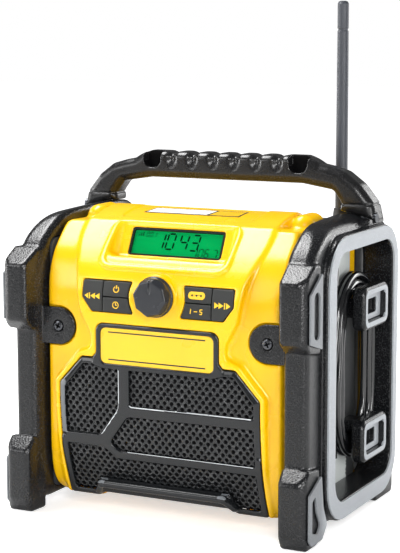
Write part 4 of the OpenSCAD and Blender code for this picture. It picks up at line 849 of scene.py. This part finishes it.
# ---------------------------------------------------------------- handle
HANDLE_Y, HANDLE_TOP, FOOT_X = 51.0, 304.5, 142.3
HANDLE_FRONT = mirrored([
    (73, HANDLE_TOP - 26, 0), (101.5, HANDLE_TOP - 30.5, 6), (108.5, HANDLE_TOP - 40, 5),
    (108.5, CAGE_TOP - 2, 0), (BAR_X + 0.6, CAGE_TOP - 8, 0), (BAR_X + 0.6, RING_TOP + 0.7, 0),
    (FOOT_X, RING_TOP + 0.7, 1), (FOOT_X - 3.6, CAGE_TOP + 5.5, 3), (126, HANDLE_TOP - 25, 16),
    (112, HANDLE_TOP - 14.7, 12), (98, HANDLE_TOP - 10.8, 8), (89.5, HANDLE_TOP - 9.2, 4),
    (75.5, HANDLE_TOP, 5)])
HANDLE_SIDE = [
    (HANDLE_Y - 13.8, RING_TOP), (HANDLE_Y + 15, RING_TOP), (HANDLE_Y + 13, CAGE_TOP + 6, 10),
    (HANDLE_Y + 13, HANDLE_TOP, 8), (HANDLE_Y - 13, HANDLE_TOP, 8), (HANDLE_Y - 13, CAGE_TOP + 6, 10)]


def build_handle():
    """The carry handle, with finger grooves and a pocket at each end of its grip."""
    g = Grid((0, 35, 243), (144, 69, 307), 0.8, half=True)
    body = both(g.along_y(HANDLE_FRONT), g.along_x(HANDLE_SIDE), 7.5)
    # six finger grooves, deep on top and in front and fading out below
    pitch = 20.5
    off = np.abs((g.X / pitch) % 1 - 0.5) * pitch
    down = np.clip((g.Z + 0.35 * (HANDLE_Y - g.Y) - 291) / 8, 0, 1)
    down = down * down * (3 - 2 * down)
    body = body + 3.4 * np.exp(-(off / (2.2 + 1.6 * down)) ** 2) * down * np.clip((62.5 - g.X) / 3, 0, 1)
    # the pockets are half round
    low, high = HANDLE_TOP - 17, HANDLE_TOP - 1.5
    pocket = g.along_y([(62, low, 7.5), (79, low, 7.5), (79, high, 2), (62, high, 2)])
    body = cut(body, both(pocket, slab(g.Y, 30, HANDLE_Y - 3), 0), 0.8)
    body = cut(body, both(slab(g.Z, 262.2, 263.8), -(body + 1.0), 0), 0.4)
    body = cut(body, frame_block(g, 0.3), 0.5)
    screw = both(np.hypot(g.Y - (HANDLE_Y - 7), g.Z - (CAGE_TOP - 6.5)) - 4.4, FOOT_X - 3 - g.X, 0)
    body = cut(body, screw, 0.5)
    ob = skin("carry_grip", body, g, HANDLE, thin=0.5)
    # painted shade: the pockets at the grip's ends are painted near black
    paint(ob, PAINTED_SHADE, lambda x, y, z, a, b, c: (np.abs(np.abs(x) - 70.5) < 8.3)
          & (y < HANDLE_Y - 2.5) & (y > HANDLE_Y - 12.6) & (np.abs(z - HANDLE_TOP + 9.2) < 7.6))
    settle(ob, "radio", "cage_black", "carry_handle")


# ---------------------------------------------------------------- grille and perforated plate
def build_grille():
    """The frame round the perforated field: its outline, ribs and lip on the console's curve."""
    g = Grid((-94.5, -91, 14), (94.5, -60, 171), 0.8)
    console = g.along_x(CONSOLE_SIDE)
    outer = g.along_y(inset(GRILLE_FRONT, 0.2))
    ribs = None
    w = 9.5
    for q in (bar_outlines([(-31, 134.5), (-31, 95), (-52, 67), (-90.5, 67)], w + 1)
              + bar_outlines([(-31, 95), (90.5, 96)], w)
              + bar_outlines([(-52, 67), (-40, 56), (90.5, 56)], w - 2)):
        f = outline_field([tuple(p) for p in q], g.x, g.z)[:, None, :]
        ribs = f if ribs is None else join(ribs, f, 2.5)
    field = cut(g.along_y(FIELD_FRONT), ribs, 0.6)
    # the side rims fall back a little towards their outer edge
    lean = 0.32 * np.clip(outer + 6.2, 0, 7) * np.clip((g.Z - 66) / 3, 0, 1) * (np.abs(g.X) > 60)
    body = cut(outer, field, 0)
    body = both(body, console - GRILLE_PROUD + lean, 1.5)
    # lip along the foot, its ends turned down
    lip = g.capsule((-57, -79.4, 28.5), (57, -79.4, 28.5), 3.4)
    for s in (-1, 1):
        lip = join(lip, g.capsule((57 * s, -79.4, 28.5), (64 * s, -72.5, 20.5), 3.2), 1.0)
    body = join(body, lip, 2.5)
    body = both(body, -(console + 2.4), 0.3)
    body = cut(body, both(g.along_y(NOTCH), g.Y + 38, 2), 1.2)
    body = np.maximum(body, g.Y + 62)
    badge = both(rbox2(g.X, g.Z - 149.75, 52.5, 15.25, 5), g.Y - (Y_FACE - GRILLE_PROUD + 2.6), 0)
    body = cut(body, badge, 0.7)
    ob = skin("grille_frame", body, g, GRILLE, thin=0.5)
    # painted highlight: the ribs' edges that face left and up are painted near white
    paint(ob, GRILLE_HIGHLIGHT, lambda x, y, z, a, b, c: (
        ((b < -0.25) & (a < -0.3) & (c < 0.6) & (x > -57) & (x < -32) & (z > 68) & (z < 130))
        | ((b < -0.3) & (c > 0.45) & (x > -30) & (x < 86) & (z > 56) & (z < 104))))
    # painted highlight: the left rim's face and the lip's ends are painted grey
    paint(ob, GRILLE_DIM_HIGHLIGHT, lambda x, y, z, a, b, c: ((b < -0.5) & (x < -86.5) & (z > 71) & (z < 117))
          | ((b < -0.3) & (c > 0.3) & (np.abs(np.abs(x) - 57) < 4) & (np.abs(z - 30) < 3)))
    settle(ob, "radio", "grille_black", "speaker_grille")


def build_plate():
    """Perforated plate: one six-sided cell for each hole, wrapped on the console's curve."""
    pitch, row, hole, depth = 6.45, 3.875, 1.75, 2.45
    outline = rounded(inset(mirrored(GRILLE_FRONT[:3]), 0.8), 6)
    sides = list(zip(np.roll(outline, 1, 0).tolist(), outline.tolist()))
    # a hole's cell: what is nearer to it than to its six neighbours
    ux, uz = pitch / 2, row
    side, low = (ux * ux + uz * uz) / (2 * uz), (uz * uz - ux * ux) / (2 * uz)
    hexagon = [(ux, low), (ux, -low), (0, -side), (-ux, -low), (-ux, low), (0, side)]
    edge = []
    for p, q in zip(hexagon, hexagon[1:] + hexagon[:1]):
        edge += [p, ((p[0] + q[0]) / 2, (p[1] + q[1]) / 2)]
    n = len(edge)
    angle = [math.atan2(p[1], p[0]) for p in edge]
    zs = np.linspace(10, 145, 400)
    plate_y = face_y(zs, depth)
    verts, faces, mats, index, rim = [], [], [], {}, {}

    def inside(x, z):
        hit = False
        for (ax, az), (bx, bz) in sides:
            if (z >= az) != (z >= bz) and x < ax + (z - az) * (bx - ax) / (bz - az):
                hit = not hit
        return hit

    def put(x, z, d):
        key = (round(x, 2), round(z, 2), round(d, 2))
        if key not in index:
            index[key] = len(verts)
            verts.append((x, float(np.interp(z, zs, plate_y)) + d, z))
        return index[key]

    def add(face, mat=0):
        faces.append(face)
        mats.append(mat)

    for j in range(-2, 34):
        for i in range(-16, 17):
            cx, cz = (i + (j % 2) / 2) * pitch, 20.0 + j * row
            ring = [(cx + p[0], cz + p[1]) for p in edge]
            if not all(inside(x, z) for x, z in ring):
                continue
            top = [put(x, z, -0.25 if k % 2 == 0 else 0.0) for k, (x, z) in enumerate(ring)]
            back = [put(x, z, 1.3) for x, z in ring]
            loops = [top]
            for r, d in ((hole + 0.25, 0.0), (hole, 0.2), (hole - 0.1, 1.0)):
                loops.append([put(cx + r * math.cos(t), cz + r * math.sin(t), d) for t in angle])
            # painted shade: the holes' inner walls and the faces that close them are painted near black
            for o, q in zip(loops, loops[1:]):
                for k in range(n):
                    add((o[k], o[(k + 1) % n], q[(k + 1) % n], q[k]), int(q is loops[-1]))
            add(tuple(loops[-1]), 1)
            add(tuple(reversed(back)))
            for k in range(n):
                rim[top[k], top[(k + 1) % n]] = back[k], back[(k + 1) % n]
    # the plate's own edge: sides that only one cell has
    for (p, q), (s, t) in rim.items():
        if (q, p) not in rim:
            add((p, s, t, q))
    ob = mesh_object("perforated_plate", verts, faces, [MESH, PAINTED_SHADE], face_mats=mats)
    face_outwards(ob)
    settle(ob, "radio", "grille_black", "grille_mesh")


# ---------------------------------------------------------------- knob and keys
def build_knob():
    """Faceted cap of the tuning knob, with its pointer's groove."""
    g = Grid((-18.5, -101, 175), (18.5, -86.5, 213), 0.45)
    x, z = g.X, g.Z - KNOB_Z
    rad = np.hypot(x, z)
    foot = Y_FACE - 0.7
    base = both(rad - 17, slab(g.Y, foot - 2.6, foot), 0.7)
    # eight facets that lean inwards
    t = (foot - g.Y) / 11.3
    reach = 18.4 * (1 - t) + 13.6 * t
    facets = None
    for k in range(8):
        an = math.radians(35 + 22.5 + 45 * k)
        f = (x * math.cos(an) + z * math.sin(an) - reach) * 0.9
        facets = f if facets is None else both(facets, f, 0.25)
    cap = both(both(facets, rad - 16.1, 0.5), slab(g.Y, Y_FACE - 12, Y_FACE - 0.9), 1.0)
    body = join(base, cap, 0.4)
    body = cut(body, both(rad - 3.05, Y_FACE - 8.2 - g.Y, 0), 0)      # bore for the shaft
    body = cut(body, g.capsule((0, Y_FACE - 12.6, KNOB_Z + 4), (0, Y_FACE - 10.2, KNOB_Z + 15), 1.0), 0.3)
    ob = skin("tuning_knob_cap", body, g, KNOB, thin=0.6)
    settle(ob, "tuning_knob", "knob_grey", "tuning_knob")


def build_keys():
    """Six caps: each block is cut into a key at its outer end and two above each other inside."""
    gap = 0.4
    end = (KEY_SPLIT + gap, 170, 80, 210)
    upper, lower = (10, KEY_MID + gap, KEY_SPLIT - gap, 210), (10, 170, KEY_SPLIT - gap, KEY_MID - gap)
    spans = (("skip_back_key", end, True), ("power_key", upper, True), ("clock_key", lower, True),
             ("mode_key", upper, False), ("preset_key", lower, False), ("skip_forward_key", end, False))
    g = Grid((19, -91, 175), (71.5, -71.5, 207), 0.5)
    console = g.along_x(CONSOLE_SIDE)
    block = key_block(g, 0)
    cap = both(console - 0.4, -(console + 6), 0.3)
    for name, (x0, z0, x1, z1), left in spans:
        own = both(slab(g.X, x0, x1), slab(g.Z, z0, z1), 0.6)
        body = both(both(block, own, 0.6), cap, 0.7)
        stem_x, stem_z = max(x0, 32) + 6, (max(z0, KEY_LOW) + min(z1, KEY_TOP)) / 2
        stem = both(np.hypot(g.X - stem_x, g.Z - stem_z) - 2, slab(g.Y, Y_FACE + 5, -79.2), 0.2)
        data = skin_data(join(body, stem, 0.3), g)
        ob = thinned(mesh_object(name + "_cap", *(flipped(*data) if left else data), [KEY]), 0.5)
        settle(ob, name, "key_grey", name)


# ---------------------------------------------------------------- thin plates and prints
def plates(name, shapes, place, thick, mat, body, slot, *nodes):
    """Thin raised shapes: each an outline, or an outline and the outline of its hole, with as many points."""
    verts, faces = [], []
    for shape in shapes:
        loops = shape if isinstance(shape, tuple) else (shape,)
        n = len(loops[0])
        at = []
        for w in (0, thick):
            for loop in loops:
                at.append(len(verts))
                verts += [place(u, v, w) for u, v in loop]
        if len(loops) == 1:
            faces.append([at[1] + k for k in range(n)])
            faces.append([at[0] + k for k in reversed(range(n))])
            sides = [(at[0], at[1])]
        else:
            for k in range(n):
                q = (k + 1) % n
                faces.append((at[2] + k, at[2] + q, at[3] + q, at[3] + k))
                faces.append((at[0] + k, at[1] + k, at[1] + q, at[0] + q))
            sides = [(at[0], at[2]), (at[1], at[3])]
        for a, b in sides:
            for k in range(n):
                q = (k + 1) % n
                faces.append((a + k, a + q, b + q, b + k))
    ob = mesh_object(name, verts, faces, [mat], smooth=False)
    face_outwards(ob, split=True)
    settle(ob, body, slot, *nodes)


def bar2(p, q, w):
    """A straight stroke of width w from p to q."""
    d = unit2((q[0] - p[0], q[1] - p[1])) * w / 2
    s = (-d[1], d[0])
    return [(p[0] + s[0], p[1] + s[1]), (p[0] - s[0], p[1] - s[1]), (q[0] - s[0], q[1] - s[1]),
            (q[0] + s[0], q[1] + s[1])]


def arc(cx, cy, r, a0, a1, n=24):
    return [(cx + r * math.cos(math.radians(a0 + (a1 - a0) * k / n)),
             cy + r * math.sin(math.radians(a0 + (a1 - a0) * k / n))) for k in range(n + 1)]


SEGMENTS = {"0": "abcdef", "1": "bc", "3": "abgcd", "4": "fgbc", "5": "afgcd", "6": "afgedc", "7": "abc"}
STROKES = {"a": ((0, 1), (1, 1)), "b": ((1, 0.5), (1, 1)), "c": ((1, 0), (1, 0.5)), "d": ((0, 0), (1, 0)),
           "e": ((0, 0), (0, 0.5)), "f": ((0, 0.5), (0, 1)), "g": ((0, 0.5), (1, 0.5))}


def digits(text, x, y, h, pitch, w, gap=0.35):
    """Seven-segment figures, leaning a little, as outlines."""
    lean = 0.12
    out = []
    for ch in text:
        if ch == ".":
            v = 0.06
            out.append([(x + v * lean * h + i * w * 0.7, y + v * h + j * w * 0.7)
                        for i, j in ((-0.5, -0.5), (0.5, -0.5), (0.5, 0.5), (-0.5, 0.5))])
            x += pitch * 0.42
            continue
        wd = h * 0.5
        for seg in SEGMENTS[ch]:
            p, q = (np.array((x + a * wd + b * h * lean, y + b * h)) for a, b in STROKES[seg])
            d = unit2(q - p)
            s = np.array((-d[1], d[0])) * w / 2
            p, q = p + d * w * gap, q - d * w * gap
            ends = (p, p + d * w / 2 - s, q - d * w / 2 - s, q, q - d * w / 2 + s, p + d * w / 2 + s)
            out.append([tuple(v) for v in ends])
        x += pitch
    return out


def on_lcd(x, up, w):
    return (x,) + display_point(up, w - 3.02)


def top_z(y, d):
    """Top of the console's side outline, moved inwards by d, at the depth y."""
    pts = rounded(inset(CONSOLE_SIDE, d), 3)
    top = pts[(pts[:, 1] > 240) & (pts[:, 0] < 40)]
    order = np.argsort(top[:, 0])
    return float(np.interp(y, top[order, 0], top[order, 1]))


def rounded_box(x0, y0, x1, y1, r, step=15):
    return [tuple(p) for p in rounded(box_corners(x0, y0, x1, y1, r), step)]


def build_display():
    """The lit panel, its black border, the glass in front of them and the figures."""
    plates("lcd_panel", [rounded_box(-45.5, -14.5, 45.5, 14.5, 1)], lambda x, u, w: on_lcd(x, u, w - 3.9),
           3.9, LCD, "radio", "lcd_green", "lcd_module")
    border = (rounded_box(-43.2, -12.2, 43.2, 12.2, 2.2), rounded_box(-41.6, -11.0, 41.6, 10.4, 1.4))
    plates("lcd_border", [border], on_lcd, 2.3, GASKET, "radio", "part_black")
    plates("display_glass", [rounded_box(-43.1, -12.1, 43.1, 12.1, 2.2)],
           lambda x, u, w: on_lcd(x, u, w + 2.35), 0.5, GLASS, "radio", "lens_clear", "display_lens")
    shapes = digits("10", -20.5, -5.0, 13.6, 9.6, 1.5) + digits("43", 1.5, -5.0, 13.6, 10.4, 1.5)
    shapes += digits("106.7", 15.5, -10.2, 7.0, 5.4, 0.8)
    shapes += digits("001", -30.5, 5.0, 4.2, 3.4, 0.62)
    for k in range(3):
        shapes.append(bar2((-37.5 + 2.0 * k, 5.2), (-37.5 + 2.0 * k, 6.8 + 1.1 * k), 0.9))
    plates("lcd_figures", shapes, on_lcd, 0.12, DIGIT, "radio", "lcd_green")


def triangle(x, z, w, h):
    h = h if w > 0 else -h
    return [(x, z - h / 2), (x + w, z), (x, z + h / 2)]


def build_symbols():
    """Plain marks on the six keys: arrows, power, a clock, three dots and a range of figures."""

    def put(x, z, w):
        return x, float(face_y(np.array([z]), -0.4)[0]) - w, z

    mid, up_z, low_z = (KEY_LOW + KEY_TOP) / 2, (KEY_MID + KEY_TOP) / 2 + 0.2, (KEY_LOW + KEY_MID) / 2
    x = -37.5                               # middle of the power and clock keys' marks
    ring = (arc(x, low_z, 3.0, 0, 348.75, 31), arc(x, low_z, 2.3, 0, 348.75, 31))
    one, five = (digits(ch, at, low_z - 1.9, 3.8, 3.0, 0.75, -0.4) for ch, at in (("1", 29.8), ("5", 40.2)))
    marks = {
        "skip_back": [triangle(-52.8, mid, -4.4, 5.0), triangle(-57.2, mid, -4.4, 5.0),
                      bar2((-62.4, mid - 2.5), (-62.4, mid + 2.5), 0.9), triangle(-63.6, mid, -3.6, 4.6)],
        "power": [arc(x, up_z, 2.8, 122, 418) + arc(x, up_z, 1.95, 418, 122),
                  bar2((x, up_z + 0.5), (x, up_z + 3.3), 0.9)],
        "clock": [ring, bar2((x, low_z - 0.3), (x, low_z + 1.9), 0.7),
                  bar2((-37.8, low_z), (-36.1, low_z), 0.7)],
        "mode": [rounded_box(29.2, up_z - 3.0, 44.4, up_z + 3.0, 2.9)],
        "preset": one + [bar2((35.0, low_z), (38.0, low_z), 0.75)] + five,
        "skip_forward": [triangle(53.2, mid, 4.4, 5.0), triangle(57.0, mid, 4.4, 5.0),
                         bar2((62.4, mid - 2.5), (62.4, mid + 2.5), 1.0), triangle(63.8, mid, 3.8, 5.0)]}
    for name, shapes in marks.items():
        plates(name + "_mark", shapes, lambda x, z, w: put(x, z, w - 0.25), 0.36, PRINT, name + "_key",
               "label_print")
    dots = [arc(x, up_z, 0.8, 0, 337.5, 15) for x in (32.8, 36.8, 40.8)]
    plates("mode_dots", dots, lambda x, z, w: put(x, z, w - 0.1), 0.3, PRINT_DARK, "mode_key", "label_print")


def build_badge():
    """The two thin lines above and below the badge's bare field."""
    lines = [[(-45, z - 0.55), (45, z - 0.55), (45, z + 0.55), (-45, z + 0.55)] for z in (161.3, 138.2)]
    plates("badge_lines", lines, lambda x, z, w: (x, Y_FACE + 0.4 - w, z), 0.32, PRINT_DARK, "radio",
           "label_print")


def build_label():
    """The label on top: a dark plate and its two bare fields."""
    base = [(-47, -20.3), (43, -20.3), (45, -4.7), (-42, -4.7)]
    plates("top_label_plate", [base], lambda x, y, w: (x, y, top_z(y, 1.6) + w), 0.5, PRINT_DARK, "radio",
           "label_print", "top_label")
    white = [(-44.6, -19.0), (12.5, -19.0), (16.3, -6.0), (-41.0, -6.0)]
    yellow = [(15.0, -19.0), (41.2, -19.0), (43.2, -6.0), (18.7, -6.0)]
    for name, field, mat in (("label_field", white, LABEL_WHITE), ("label_field_yellow", yellow, BADGE)):
        plates(name, [field], lambda x, y, w: (x, y, top_z(y, 1.35) + w), 0.34, mat, "radio", "label_print")


for build in (build_housing, build_cleats, build_gland, build_right_panel, build_display, build_symbols,
              build_badge, build_label, build_frames, build_tab_screws, build_handle, build_grille,
              build_plate, build_knob, build_keys):
    build()

# ---------------------------------------------------------------- finish of the CAD nodes
FINISHES = (
    (SHELL_AND_SHADE, "rear_cover battery_bay antenna_base"),
    (SEAL, "housing_seal door_seal"),
    (STEEL, "cover_screws encoder_shaft rotary_encoder speaker_screws aux_socket door_hinge_pin"),
    # painted sheen: the frames' rings and lug patches take the pale grey
    (SIDE_SHEEN, "left_frame_trim right_frame_trim"),
    (SCREW, "handle_screws"),
    (PANEL, "left_side_panel storage_door"),
    (SLATE, "door_latch"),
    (BADGE, "badge_plate"),
    (BOARD, "display_board key_board main_board"),
    (MAGNET, "left_speaker_basket right_speaker_basket left_speaker_magnet right_speaker_magnet"),
    (MAGNET, "mains_transformer"),
    (CONE, "left_speaker_cone right_speaker_cone"),
    (ALU, "heat_sink"),
    (MAST, "antenna_mast"),
    (CORD, "mains_plug"),
    (BRASS, "plug_pins"))
NODE_MATERIALS = {name: mat for mat, names in FINISHES for name in names.split()}
BEVELS = {"right_frame_trim": 0.4, "left_frame_trim": 0.4, "rear_cover": 0.8, "storage_door": 0.7,
          "left_side_panel": 0.5, "door_latch": 0.5, "battery_bay": 0.5, "badge_plate": 0.4,
          "antenna_base": 0.5, "mains_plug": 1.2, "plug_pins": 0.4}
for name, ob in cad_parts.items():
    mat = NODE_MATERIALS.get(name, PART)
    ob.data.materials.clear()
    ob.data.materials.append(mat)
    if name in BEVELS:
        w = ob.modifiers.new("weld", "WELD")
        w.merge_threshold = 0.00001
        b = ob.modifiers.new("bevel", "BEVEL")
        b.width, b.segments, b.limit_method, b.angle_limit = BEVELS[name] * MM, 3, "ANGLE", math.radians(32)
        b.use_clamp_overlap = True


# ---------------------------------------------------------------- stage and light
def build_stage():
    """A pale floor and a white world that lights the object only a little."""
    floor = mesh_object("floor", [(-6000, -6000, 0), (6000, -6000, 0), (6000, 9000, 0), (-6000, 9000, 0)],
                        [(0, 1, 2, 3)], smooth=False)
    m = bpy.data.materials.new("floor")
    n = Nodes(m)
    n.all.clear()
    # the camera sees the floor lit up towards white, less so near the radio; nothing else is lit by it
    away = n.new("VectorMath", {0: n.new("NewGeometry").outputs["Position"]}, operation="LENGTH")
    share = n.ranged(away.outputs["Value"], 0.45, 1.5, 0.6, 1.0)
    seen = n.new("Math", {0: n.new("LightPath").outputs["Is Camera Ray"], 1: share}, operation="MULTIPLY")
    glow = n.new("Emission", {"Strength": seen.outputs[0]})
    grey = n.new("BsdfDiffuse", {"Color": (0.86, 0.86, 0.86, 1)})
    both_lights = n.new("AddShader", {0: grey.outputs[0], 1: glow.outputs[0]})
    n.new("OutputMaterial", {"Surface": both_lights.outputs[0]})
    floor.data.materials.append(m)
    world = bpy.data.worlds.new("World")
    bpy.context.scene.world = world
    n = Nodes(world)
    strength = n.ranged(n.new("LightPath").outputs["Is Camera Ray"], 0, 1, 0.15, 1.0)
    n.fill(n.all["Background"], {"Color": (1, 1, 1, 1), "Strength": strength})


def area_light(name, at, towards, size, power, size_y=None):
    """A square lamp, or with size_y a rectangular one, turned towards a point."""
    data = bpy.data.lights.new(name, "AREA")
    data.energy, data.size = power, size
    if size_y:
        data.shape, data.size_y = "RECTANGLE", size_y
    ob = linked(name, data)
    ob.location = at
    ob.rotation_euler = (Vector(towards) - Vector(at)).to_track_quat("-Z", "Y").to_euler()


build_stage()
for lamp in (
        ("overhead", (-0.68, 0.05, 1.6), (0, 0, 0.2), 1.1, 30, 0.55),
        ("front_left", (-1.2, -1.7, 0.9), (0, 0, 0.15), 0.8, 10),
        ("front_right", (1.1, -1.8, 1.1), (0, 0, 0.15), 0.6, 24),
        ("right", (1.8, -0.85, 0.35), (0, 0, 0.13), 0.35, 16, 0.9),
        ("left", (-1.9, -0.75, 0.3), (0, 0, 0.15), 0.3, 13, 0.7),
        ("back_left", (-1.9, 1.1, 0.35), (0, 0, 0.15), 0.8, 10),
        ("back_right", (1.3, 1.9, 0.6), (0, 0, 0.15), 0.9, 14),
        ("floor_right", (0.65, 0.95, 0.55), (0.62, 0.95, 0), 0.5, 7, 0.9),
        ("floor_left", (-1.1, -0.25, 0.55), (-1.07, -0.25, 0), 0.9, 6, 0.5)):
    area_light(*lamp)
